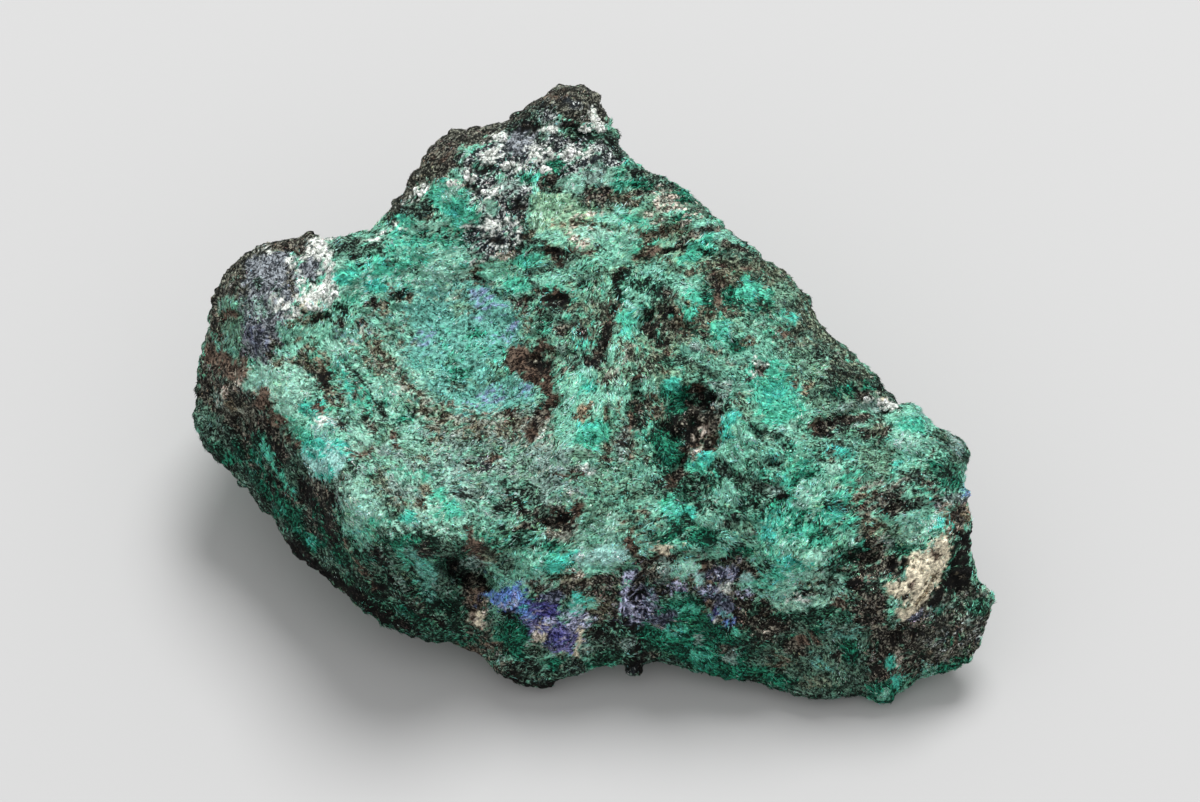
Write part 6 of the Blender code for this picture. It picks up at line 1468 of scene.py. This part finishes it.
def make_rock():
    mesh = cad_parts["specimen_rock"].data.copy()
    mesh.materials.clear()
    rock = bpy.data.objects.new("ore_body", mesh)
    bpy.context.scene.collection.objects.link(rock)
    make_active(rock)
    bpy.ops.object.mode_set(mode="EDIT")
    bpy.ops.mesh.select_all(action="SELECT")
    bpy.ops.mesh.remove_doubles(threshold=SAME_PLACE)
    bpy.ops.object.mode_set(mode="OBJECT")
    remesh = rock.modifiers.new("even_skin", "REMESH")
    remesh.mode = "VOXEL"
    remesh.voxel_size = ROCK_VOXEL * MM
    remesh.use_smooth_shade = True
    smooth = rock.modifiers.new("soften", "SMOOTH")
    smooth.iterations = SOFTENINGS
    apply_modifiers(rock)
    return rock


def tree_of(thing):
    mesh = thing.data
    mesh.calc_loop_triangles()
    corners = [tuple(triangle.vertices) for triangle in mesh.loop_triangles]
    return BVHTree.FromPolygons([vertex.co / MM for vertex in mesh.vertices], corners)


def placed_relief(u, v):
    rise = np.zeros(len(u))
    for *oval, height in RELIEF_SPOTS:
        rise += (1.0 - smoothstep(*SPOT_SLOPE, from_oval(u, v, *oval))) * height
    for width, height, line in RELIEF_LINES:
        far = from_line(u, v, line) / (width * 0.5)
        rise += (1.0 - smoothstep(*LINE_SLOPE, far)) * height
    return rise


def carve(rock):
    """Roughens the skin along the comb, and sinks and raises the listed hollows, lumps, grooves and ridges.
    """
    points, facing = coordinates(rock.data), normals(rock.data)
    seen = seen_from_front(points, tree_of(rock))
    comb = combed(points, seen, facing)
    warp = noise_vectors_at(points, 1.6, 83.0) * RELIEF_WOBBLE
    u, v = on_plane(points + warp)
    rise = placed_relief(u, v) * seen
    middles, edge = tufts_at(points)
    lumps = smoothstep(0.0, 0.5, edge) * (TUFT_RISE + TUFT_SPREAD * noise_at(middles, 0.31, 87.0))
    broken = drawn_noise(points, comb, 2.6, 3.6, 91.0) * BREAK_DEPTH
    ridges = np.abs(drawn_noise(points, comb, 1.3, 2.2, 97.0)) * RIDGE_DEPTH
    fine = drawn_noise(points, comb, 0.62, 1.0, 101.0, steps=3) * STRAND_DEPTH
    out_of_hollow = smoothstep(*HOLLOW_EDGE, from_oval(u, v, *HOLLOW, 0.0))
    rough = HOLLOW_ROUGHNESS + (1.0 - HOLLOW_ROUGHNESS) * out_of_hollow
    rise += rough * (broken - ridges + lumps + SKIN_LIFT + fine)
    ledge, _, crack = ledges_at(points)
    above_foot = smoothstep(*FOOT, points[:, 2])
    rise += (1.0 - seen) * above_foot * (ledge * LEDGE_RISE - crack * CRACK_DEPTH)
    points += facing * rise[:, None]
    rock.data.vertices.foreach_set("co", (points * MM).astype(np.float32).ravel())
    rock.data.update()


def lay_sheets(rock):
    """Lays the faces out on six flat sheets, one for each side that they look to."""
    mesh = rock.data
    points = coordinates(mesh) - EYE
    sides = (ACROSS, PLANE_UP, TOWARDS_EYE)
    along = np.column_stack([points @ side for side in sides])
    along -= along.min(axis=0)
    width, height, depth = along.max(axis=0)
    facing = read(mesh.polygons, "normal", 3, len(mesh.polygons)) @ np.column_stack(sides)
    axis = np.argmax(np.abs(facing), axis=1)
    ahead = facing[np.arange(len(axis)), axis] > 0.0
    # For each side, the two directions of its sheet, and where its two sheets start.
    row = (0.0, height + SHEET_GAP, 2.0 * (height + SHEET_GAP))
    sheets = {2: ((0, 1), (0.0, row[0]), (0.0, row[1])),
              0: ((2, 1), (width + SHEET_GAP, row[0]), (width + SHEET_GAP, row[1])),
              1: ((0, 2), (0.0, row[2]), (width + SHEET_GAP, row[2]))}
    corner_vertex = np.empty(len(mesh.loops), np.int32)
    mesh.loops.foreach_get("vertex_index", corner_vertex)
    totals = np.empty(len(mesh.polygons), np.int32)
    mesh.polygons.foreach_get("loop_total", totals)
    corner_axis, corner_ahead = np.repeat(axis, totals), np.repeat(ahead, totals)
    flat = np.zeros((len(corner_vertex), 2))
    for side, ((first, second), front, back) in sheets.items():
        for start, chosen in ((front, corner_ahead), (back, ~corner_ahead)):
            mine = (corner_axis == side) & chosen
            spots = along[corner_vertex[mine]]
            flat[mine] = spots[:, [first, second]] + np.array(start)
    flat = (flat + SHEET_GAP) / (np.array([2.0 * width, 2.0 * height + depth]) + 4.0 * SHEET_GAP)
    layer = mesh.uv_layers.new(name="OFBake")
    layer.data.foreach_set("uv", flat.astype(np.float32).ravel())


rock = make_rock()
carve(rock)
rock_points, rock_normals = coordinates(rock.data), normals(rock.data)
rock_tree = tree_of(rock)
rock_seen = seen_from_front(rock_points, rock_tree)
rock_comb = combed(rock_points, rock_seen, rock_normals)
rock_coat = Coat(rock_points, rock_seen, rock_comb, tufts_at(rock_points)[0])
# Painted shade: on the face, the ground under green needles is darkened to stand in for the shadow in the
# gaps between them.
painted_gap_shade = (1.0 - (1.0 - PAINTED_GAP_SHADE_LEVEL) * rock_seen * rock_coat.kinds[:, GREEN])[:, None]
store(rock.data, "light", "FLOAT_COLOR", rock_coat.light * painted_gap_shade)
store(rock.data, "dark", "FLOAT_COLOR", rock_coat.dark * painted_gap_shade)
store(rock.data, "cover", "FLOAT", rock_coat.cover)
store(rock.data, "comb", "FLOAT_VECTOR", rock_comb)
rock.data.materials.append(ore_material())
lay_sheets(rock)
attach(rock, "root")
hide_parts("specimen_rock")

# --- Needles and grit, four faces each
GRAINS = 250000
GRAINS_IN_PIECE = 48000
BACK_SHARE = 0.3
# Sizes in millimetres, from grit to needles.
GRIT_LENGTH, NEEDLE_LENGTH = 0.24, 0.70
GRIT_WIDTH, NEEDLE_WIDTH = 0.21, 0.115
FLAKE_WIDTH, FLAKE_THICKNESS = 2.4, 0.3
SUNK, ROOTED = 0.06, 0.3
LIFT, TUFT_LIFT = (1.0, 20.0), 30.0
# How far grains differ in light and dark, and in red, green and blue.
SHADE_SWING = 0.34
HUE_SWING = np.array([0.38, 0.1, 0.2])
DARKEST, LIGHTEST = 0.002, 0.9
# Painted glints: the share of light green needles that get a near-white highlight colour, given below, and
# how far they are pushed to it.
PAINTED_GLINTS, PAINTED_GLINT_SHARE = 0.05, 0.6
FLAKES = 0.16
PAINTED_GLINT = (222, 250, 238)
HUES = 24.0
GRAIN_FACES = np.array([[0, 2, 1], [0, 1, 3], [1, 2, 3], [2, 0, 3]])
GRAIN_SPOTS = np.array([[0.15, 0.15], [0.85, 0.15], [0.5, 0.4], [0.5, 0.85]])


def scatter(mesh, seen_of_point, count):
    """Random places on the skin, thicker on the face: (places, normals, how far each is seen)."""
    share_of_point = BACK_SHARE + (1.0 - BACK_SHARE) * seen_of_point
    mesh.calc_loop_triangles()
    corners = read(mesh.loop_triangles, "vertices", 3, len(mesh.loop_triangles)).astype(int)
    points, facing = coordinates(mesh), normals(mesh)
    a, b, c = (points[corners[:, side]] for side in range(3))
    across = np.cross(b - a, c - a)
    weight = np.linalg.norm(across, axis=1) * share_of_point[corners].mean(axis=1)
    chosen = random.choice(len(corners), count, p=weight / weight.sum())
    s, t = random.random(count), random.random(count)
    over = s + t > 1.0
    s[over], t[over] = 1.0 - s[over], 1.0 - t[over]
    mix = np.column_stack([1.0 - s - t, s, t])
    hit = corners[chosen]
    return (np.einsum("ij,ijk->ik", mix, points[hit]), unit(np.einsum("ij,ijk->ik", mix, facing[hit])),
            np.einsum("ij,ij->i", mix, seen_of_point[hit]))


def lay_cells(mesh, tint):
    """Gives each grain a small cell of the sheet of its own, next to grains of like colour."""
    count = len(tint)
    hue = np.round(tint[:, 0] / tint.sum(axis=1) * HUES)
    order = np.lexsort((np.where(hue % 2, 1.0, -1.0) * tint[:, 1], hue))
    rank = np.empty(count, int)
    rank[order] = np.arange(count)
    cells = math.ceil(math.sqrt(count))
    corner = np.column_stack([rank % cells, rank // cells])[:, None, None, :]
    flat = (corner + GRAIN_SPOTS[GRAIN_FACES][None]) / cells
    layer = mesh.uv_layers.new(name="OFBake")
    layer.data.foreach_set("uv", flat.astype(np.float32).ravel())


def grow_grains(name, places, facing, line, length, width, thick, lift, tint, material):
    """One joined mesh of thin four-sided grains, each with its own colour."""
    count = len(places)
    side = unit(np.cross(facing, line))
    lean = line * np.cos(lift)[:, None] + facing * np.sin(lift)[:, None]
    up = np.cross(side, lean)
    half = (width * 0.5)[:, None]
    rise = up * half * thick[:, None]
    root = places - facing * SUNK - lean * (length * ROOTED)[:, None]
    corners = np.stack([root + side * half - rise * 0.5, root - side * half - rise * 0.5, root + rise,
                        root + lean * length[:, None]], axis=1)
    mesh = bpy.data.meshes.new(name)
    mesh.vertices.add(count * 4)
    mesh.vertices.foreach_set("co", (corners * MM).astype(np.float32).ravel())
    loops = (GRAIN_FACES[None] + np.arange(count)[:, None, None] * 4).ravel()
    mesh.loops.add(len(loops))
    mesh.loops.foreach_set("vertex_index", loops.astype(np.int32))
    mesh.polygons.add(count * 4)
    mesh.polygons.foreach_set("loop_start", np.arange(0, len(loops), 3, dtype=np.int32))
    mesh.update()
    mesh.validate()
    store(mesh, "tint", "FLOAT_COLOR", np.repeat(tint, 4, axis=0))
    lay_cells(mesh, tint)
    piece = bpy.data.objects.new(name, mesh)
    bpy.context.scene.collection.objects.link(piece)
    mesh.materials.append(material)
    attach(piece, "root")
    return piece


# For each kind: the name of its pieces, its slot, its roughness and how strongly it shines.
KINDS = {
    GREEN: ("green_needles", "green_crust", 0.45, 0.22),
    BLACK: ("black_grit", "black_grains", 0.45, 0.3),
    PALE: ("pale_grit", "pale_grains", 0.8, 0.2),
    BLUE: ("blue_blades", "blue_crystal", 0.45, 0.25),
}


# The fan of a tuft: how far it sways from the comb, how far behind its middle its root lies, and how
# far ahead of the middle its front lies. Lengths are in tufts.
FAN_SWAY = 1.1
ROOT_DEPTH, ROOT_SWING = 0.95, 1.1
ROOT_NEAREST, ROOT_FARTHEST = 0.5, 1.8
TUFT_FRONT = 0.55


def fan_out(places, comb, middles):
    """Tufts fan out from a root behind the middle: (direction of each grain, how far along it is)."""
    sway = unit(comb + noise_vectors_at(middles, 0.23, 121.0) * FAN_SWAY)
    root = np.clip(ROOT_DEPTH + noise_at(middles, 0.29, 125.0) * ROOT_SWING, ROOT_NEAREST, ROOT_FARTHEST)
    behind = root * TUFT
    reach = np.sum((places - middles) * sway, axis=1) / TUFT + TUFT_FRONT
    return unit(places - middles + sway * behind[:, None]), reach


# What decides whether a grain is light: its tuft, its strand, its patch, chance and its reach, which is
# painted shade: darker towards the tuft's root, lighter towards its front.
LIGHT_TUFT, LIGHT_STRAND, LIGHT_PATCH, LIGHT_CHANCE, LIGHT_REACH_PAINTED_SHADE = 0.3, 0.46, 0.3, 0.2, 0.25
LIGHT_EDGE, MID_REACH = 0.14, 0.6
COVER_PULL = 1.5
# How unlike each other grains are where the ore shows through, and how much calmer well covered
# ground is.
RESTLESS, CALMED = 1.55, 1.05
WELL_COVERED = (0.35, 0.85)
FLAKE_CALM = 0.5
# How brightness drifts from tuft to tuft, from patch to patch and towards the tips, as powers of e. The drift
# towards the tips is painted shade, darker at the tuft's root.
DRIFT_TUFT, DRIFT_PATCH, DRIFT_TIP_PAINTED_SHADE = 0.6, 0.4, 0.4
TIP_FROM, TIP_RANGE = 0.7, (-0.6, 0.5)
HUE_CHANCE = 0.5
# Flakes lie only among grains that are longer than this, on the scale of the tones.
NEEDLED = 0.4


def colour_grains(places, middles, coat, fan, reach):
    """(colour of each grain, whether it is a broad flake)."""
    count = len(places)
    own = noise_at(middles, 0.27, 131.0)
    clumps = (own * LIGHT_TUFT + drawn_noise(places, fan, 0.5, 1.5, 111.0, steps=5) * LIGHT_STRAND
              + noise_at(places, 2.1, 115.0) * LIGHT_PATCH + random.normal(0.0, LIGHT_CHANCE, count)
              + (reach - MID_REACH) * LIGHT_REACH_PAINTED_SHADE)
    level = (0.5 - coat.cover) * COVER_PULL
    bright = smoothstep(-LIGHT_EDGE, LIGHT_EDGE, clumps - level)[:, None]
    tint = coat.dark + (coat.light - coat.dark) * bright
    flake = (random.random(count) < FLAKES) & (coat.grain > NEEDLED)
    calm = RESTLESS - CALMED * smoothstep(*WELL_COVERED, coat.cover)
    swing = random.normal(0.0, SHADE_SWING, count) * calm * np.where(flake, FLAKE_CALM, 1.0)
    drift = (own * DRIFT_TUFT + noise_at(places, 3.0, 155.0) * DRIFT_PATCH
             + np.clip(reach - TIP_FROM, *TIP_RANGE) * DRIFT_TIP_PAINTED_SHADE)
    tint *= np.exp(swing + drift)[:, None]
    hue = noise_vectors_at(middles, 0.33, 151.0) + random.normal(0.0, HUE_CHANCE, (count, 3))
    tint *= np.exp(hue * HUE_SWING)
    # Painted highlights: a few light green needles are pushed towards a near-white glint colour.
    painted_glint = (random.random(count) < PAINTED_GLINTS) & (bright[:, 0] > 0.5) & (coat.kinds[:, GREEN] > 0.5)
    tint[painted_glint] += (linear(PAINTED_GLINT) - tint[painted_glint]) * PAINTED_GLINT_SHARE
    return np.clip(tint, DARKEST, LIGHTEST), flake


LENGTH_SPREAD, WIDTH_SPREAD = (0.6, 1.5), (0.7, 1.35)
KIND_MIX = 0.12
# Needles keep to the fan, and grit lies any way.
NEEDLE_STRAY, GRIT_STRAY, GRIT_LOOSE = 0.11, 0.8, 0.6
FLAKE_LIFT = 0.4
# Grit is thinned out by this share, and needles not at all.
THINNED, THIN_FALL = 0.85, 4.0


def cover_with_grains():
    places, facing, seen = scatter(rock.data, rock_seen, GRAINS)
    comb = combed(places, seen, facing)
    middles = tufts_at(places)[0]
    coat = Coat(places, seen, comb, middles)
    fan, reach = fan_out(places, comb, middles)
    tint, flake = colour_grains(places, middles, coat, fan, reach)
    count = len(places)
    kind = np.argmax(coat.kinds + random.normal(0.0, KIND_MIX, (count, 4)), axis=1)
    length = GRIT_LENGTH + (NEEDLE_LENGTH - GRIT_LENGTH) * coat.grain
    length *= random.uniform(*LENGTH_SPREAD, count)
    width = GRIT_WIDTH + (NEEDLE_WIDTH - GRIT_WIDTH) * coat.grain
    width *= random.uniform(*WIDTH_SPREAD, count)
    width *= np.where(flake, FLAKE_WIDTH, 1.0)
    grit = (1.0 - coat.grain)[:, None]
    line = (fan * (1.0 - grit * GRIT_LOOSE) + random.normal(0.0, NEEDLE_STRAY, (count, 3))
            + grit * random.normal(0.0, GRIT_STRAY, (count, 3)))
    line = unit(line - facing * np.sum(line * facing, axis=1)[:, None])
    lift = random.uniform(*LIFT, count) + np.clip(noise_at(middles, 0.25, 141.0), 0.0, 1.0) * TUFT_LIFT
    lift = np.radians(lift) * np.where(flake, FLAKE_LIFT, 1.0)
    thick = np.where(flake, FLAKE_THICKNESS, 1.0)
    kept = random.random(count) > np.clip(THINNED - coat.grain * THIN_FALL, 0.0, THINNED)
    for which, (name, slot, roughness, shine) in KINDS.items():
        material = grain_material(name, roughness, shine)
        mine = np.flatnonzero((kind == which) & kept)
        pieces = max(1, math.ceil(len(mine) / GRAINS_IN_PIECE))
        for number, part in enumerate(np.array_split(mine, pieces)):
            grow_grains("%s_%d" % (name, number + 1), places[part], facing[part], line[part], length[part],
                        width[part], thick[part], lift[part], tint[part], material)


cover_with_grains()


# --- White crumbs on the peak and broken black chunks in the pits
# (u, v, half width, half height) of each heap of crumbs.
CRUMB_HEAPS = [
    (-4.9, 27.1, 0.7, 0.5), (-10.0, 26.3, 0.6, 0.5), (-10.8, 24.8, 0.7, 0.4), (-9.4, 23.7, 0.7, 0.4),
    (-6.1, 24.9, 1.2, 0.8), (-2.6, 24.8, 1.1, 0.5), (-5.4, 23.1, 0.7, 0.4), (-17.7, 21.0, 0.8, 0.5),
    (-13.0, 22.5, 0.6, 0.4), (-1.5, 27.2, 0.5, 0.3), (0.0, 27.6, 0.4, 0.6), (-14.6, 21.8, 0.8, 0.3),
    (-10.8, 21.0, 1.0, 0.3), (-28.2, 15.0, 0.8, 1.0), (-27.2, 10.6, 0.8, 0.6), (-28.8, 9.4, 0.9, 0.3),
    (28.5, -0.5, 0.7, 0.5), (26.8, 0.1, 0.5, 0.2),
]
CRUMBS_PER_HEAP = 9
CRUMB_RADIUS = (0.16, 0.36)
CRUMB_STRETCH, CHUNK_STRETCH = (0.6, 1.15), (0.55, 1.2)
CRUMB_STAND = 0.05
CHUNK_WEAR, CHUNK_STAND = 0.22, 0.05
# Their lumps: (how far apart, how high).
CRUMB_LUMPS, CHUNK_LUMPS = (0.3, 0.14), (0.5, 0.3)
DRIFT = 0.9
# (u, v, size) of each chunk.
CHUNKS = [
    (9.2, 1.2, 0.8), (10.2, 0.4, 0.7), (8.6, -0.2, 0.6), (9.4, -1.2, 0.9), (8.3, -2.3, 0.8),
    (10.4, -1.9, 0.8), (11.4, -0.7, 0.8), (11.5, -2.7, 0.9), (9.6, -3.3, 0.7), (10.8, -4.3, 0.8),
    (8.7, -4.6, 0.8), (7.6, -3.0, 0.6), (8.3, -6.0, 0.5), (7.5, -7.6, 0.5), (-14.6, -16.6, 0.7),
    (-13.0, -17.6, 0.6), (-12.0, -18.2, 0.5), (-4.9, -11.9, 0.8), (-3.6, -11.5, 0.6), (16.2, 3.3, 0.5),
    (22.2, -2.8, 0.7), (26.2, -15.5, 0.7), (25.0, -15.2, 0.5), (29.3, -10.4, 0.7), (28.2, -10.6, 0.5),
    (-6.4, 3.8, 0.6), (-4.3, 14.5, 0.5),
]


def on_rock(u, v):
    """Where the line of sight through (u, v) meets the lump, and how the lump faces there."""
    sight = Vector(ACROSS * u + PLANE_UP * v - TOWARDS_EYE * EYE_DISTANCE)
    place, facing = rock_tree.ray_cast(Vector(EYE), sight.normalized())[:2]
    return np.array(place), np.array(facing)


def join_as(name, parts):
    deselect_all()
    for part in parts:
        part.select_set(True)
    bpy.context.view_layer.objects.active = parts[0]
    bpy.ops.object.join()
    bpy.context.object.name = name
    bpy.ops.object.transform_apply(location=True, rotation=True, scale=True)
    return bpy.context.object


def roughen(piece, size, depth):
    texture = bpy.data.textures.new(piece.name + "_lumps", "CLOUDS")
    texture.noise_scale = size * MM
    lumps = piece.modifiers.new("lumps", "DISPLACE")
    lumps.texture = texture
    lumps.strength = depth * MM
    lumps.texture_coords = "GLOBAL"
    apply_modifiers(piece)


def dress(piece, tone):
    """Gives a hand-made piece the ground of one tone, in the lump's own material."""
    wash, ground, cover = TONES[tone][:3]
    points = coordinates(piece.data)
    count = len(points)
    drift = np.exp(noise_at(points, 0.9, 161.0) * DRIFT)[:, None]
    store(piece.data, "light", "FLOAT_COLOR", np.clip(linear(wash) * drift, 0.0, LIGHTEST))
    store(piece.data, "dark", "FLOAT_COLOR", np.clip(linear(ground) * drift, 0.0, LIGHTEST))
    store(piece.data, "cover", "FLOAT", np.full(count, cover))
    store(piece.data, "comb", "FLOAT_VECTOR", unit(noise_vectors_at(points, 1.2, 165.0)))
    piece.data.materials.append(bpy.data.materials["copper_ore"])
    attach(piece, "root")


def add_crumbs():
    crumbs = []
    for u, v, half_u, half_v in CRUMB_HEAPS:
        for _ in range(CRUMBS_PER_HEAP):
            turn, far = random.uniform(0.0, math.tau), math.sqrt(random.random())
            place, facing = on_rock(u + half_u * far * math.cos(turn), v + half_v * far * math.sin(turn))
            bpy.ops.mesh.primitive_ico_sphere_add(subdivisions=2, radius=random.uniform(*CRUMB_RADIUS) * MM,
                                                  location=(place + facing * CRUMB_STAND) * MM)
            crumb = bpy.context.object
            crumb.rotation_euler = random.uniform(0.0, math.tau, 3)
            crumb.scale = random.uniform(*CRUMB_STRETCH, 3)
            crumbs.append(crumb)
    piece = join_as("white_crumbs", crumbs)
    roughen(piece, *CRUMB_LUMPS)
    dress(piece, "white")


def add_chunks():
    chunks = []
    for u, v, size in CHUNKS:
        place, facing = on_rock(u, v)
        stand = facing * size * CHUNK_STAND
        bpy.ops.mesh.primitive_cube_add(size=size * MM, location=(place + stand) * MM)
        chunk = bpy.context.object
        chunk.rotation_euler = random.uniform(0.0, math.tau, 3)
        chunk.scale = random.uniform(*CHUNK_STRETCH, 3)
        bevel = chunk.modifiers.new("worn_edges", "BEVEL")
        bevel.width = size * CHUNK_WEAR * MM
        bevel.segments = 1
        divide = chunk.modifiers.new("divide", "SUBSURF")
        divide.subdivision_type = "SIMPLE"
        divide.levels = divide.render_levels = 2
        apply_modifiers(chunk)
        chunks.append(chunk)
    piece = join_as("black_chunks", chunks)
    roughen(piece, *CHUNK_LUMPS)
    dress(piece, "black_brown")


add_crumbs()
add_chunks()


# --- Floor, light and camera
FLOOR_WIDTH = 6.0
FLOOR_GREY, FLOOR_ROUGHNESS = 0.5, 0.9
ROOM_LIGHT = 0.74
LAMP_PLACE, LAMP_AIM = (240, 860, 1500), (0, 0, 10)
LAMP_WIDTH, LAMP_POWER = 900, 29.0


def make_floor():
    deselect_all()
    bpy.ops.mesh.primitive_plane_add(size=FLOOR_WIDTH)
    floor = bpy.context.object
    floor.name = "floor"
    material = bpy.data.materials.new("pale_floor")
    material.use_nodes = True
    shader = material.node_tree.nodes["Principled BSDF"]
    shader.inputs["Base Color"].default_value = (FLOOR_GREY, FLOOR_GREY, FLOOR_GREY, 1.0)
    shader.inputs["Roughness"].default_value = FLOOR_ROUGHNESS
    shader.inputs["Specular IOR Level"].default_value = 0.0
    floor.data.materials.append(material)


def make_light():
    world = bpy.data.worlds.new("soft_room")
    world.use_nodes = True
    background = world.node_tree.nodes["Background"]
    background.inputs["Color"].default_value = (1.0, 1.0, 1.0, 1.0)
    background.inputs["Strength"].default_value = ROOM_LIGHT
    bpy.context.scene.world = world
    lamp = bpy.data.lights.new("key", "AREA")
    lamp.shape = "DISK"
    lamp.size = LAMP_WIDTH * MM
    lamp.energy = LAMP_POWER
    thing = bpy.data.objects.new("key", lamp)
    thing.location = Vector(LAMP_PLACE) * MM
    thing.rotation_euler = (Vector(LAMP_AIM) - Vector(LAMP_PLACE)).to_track_quat("-Z", "Y").to_euler()
    bpy.context.scene.collection.objects.link(thing)


def make_camera():
    camera = bpy.data.cameras.new("camera")
    camera.sensor_width = SENSOR
    camera.lens = SENSOR * EYE_DISTANCE / FRAME_WIDTH
    camera.clip_start, camera.clip_end = SIGHT_RANGE
    thing = bpy.data.objects.new("camera", camera)
    thing.location = Vector(EYE) * MM
    thing.rotation_euler = Vector(-TOWARDS_EYE).to_track_quat("-Z", "Y").to_euler()
    bpy.context.scene.collection.objects.link(thing)
    bpy.context.scene.camera = thing


make_floor()
make_light()
make_camera()
bpy.context.scene.view_settings.view_transform = "Standard"
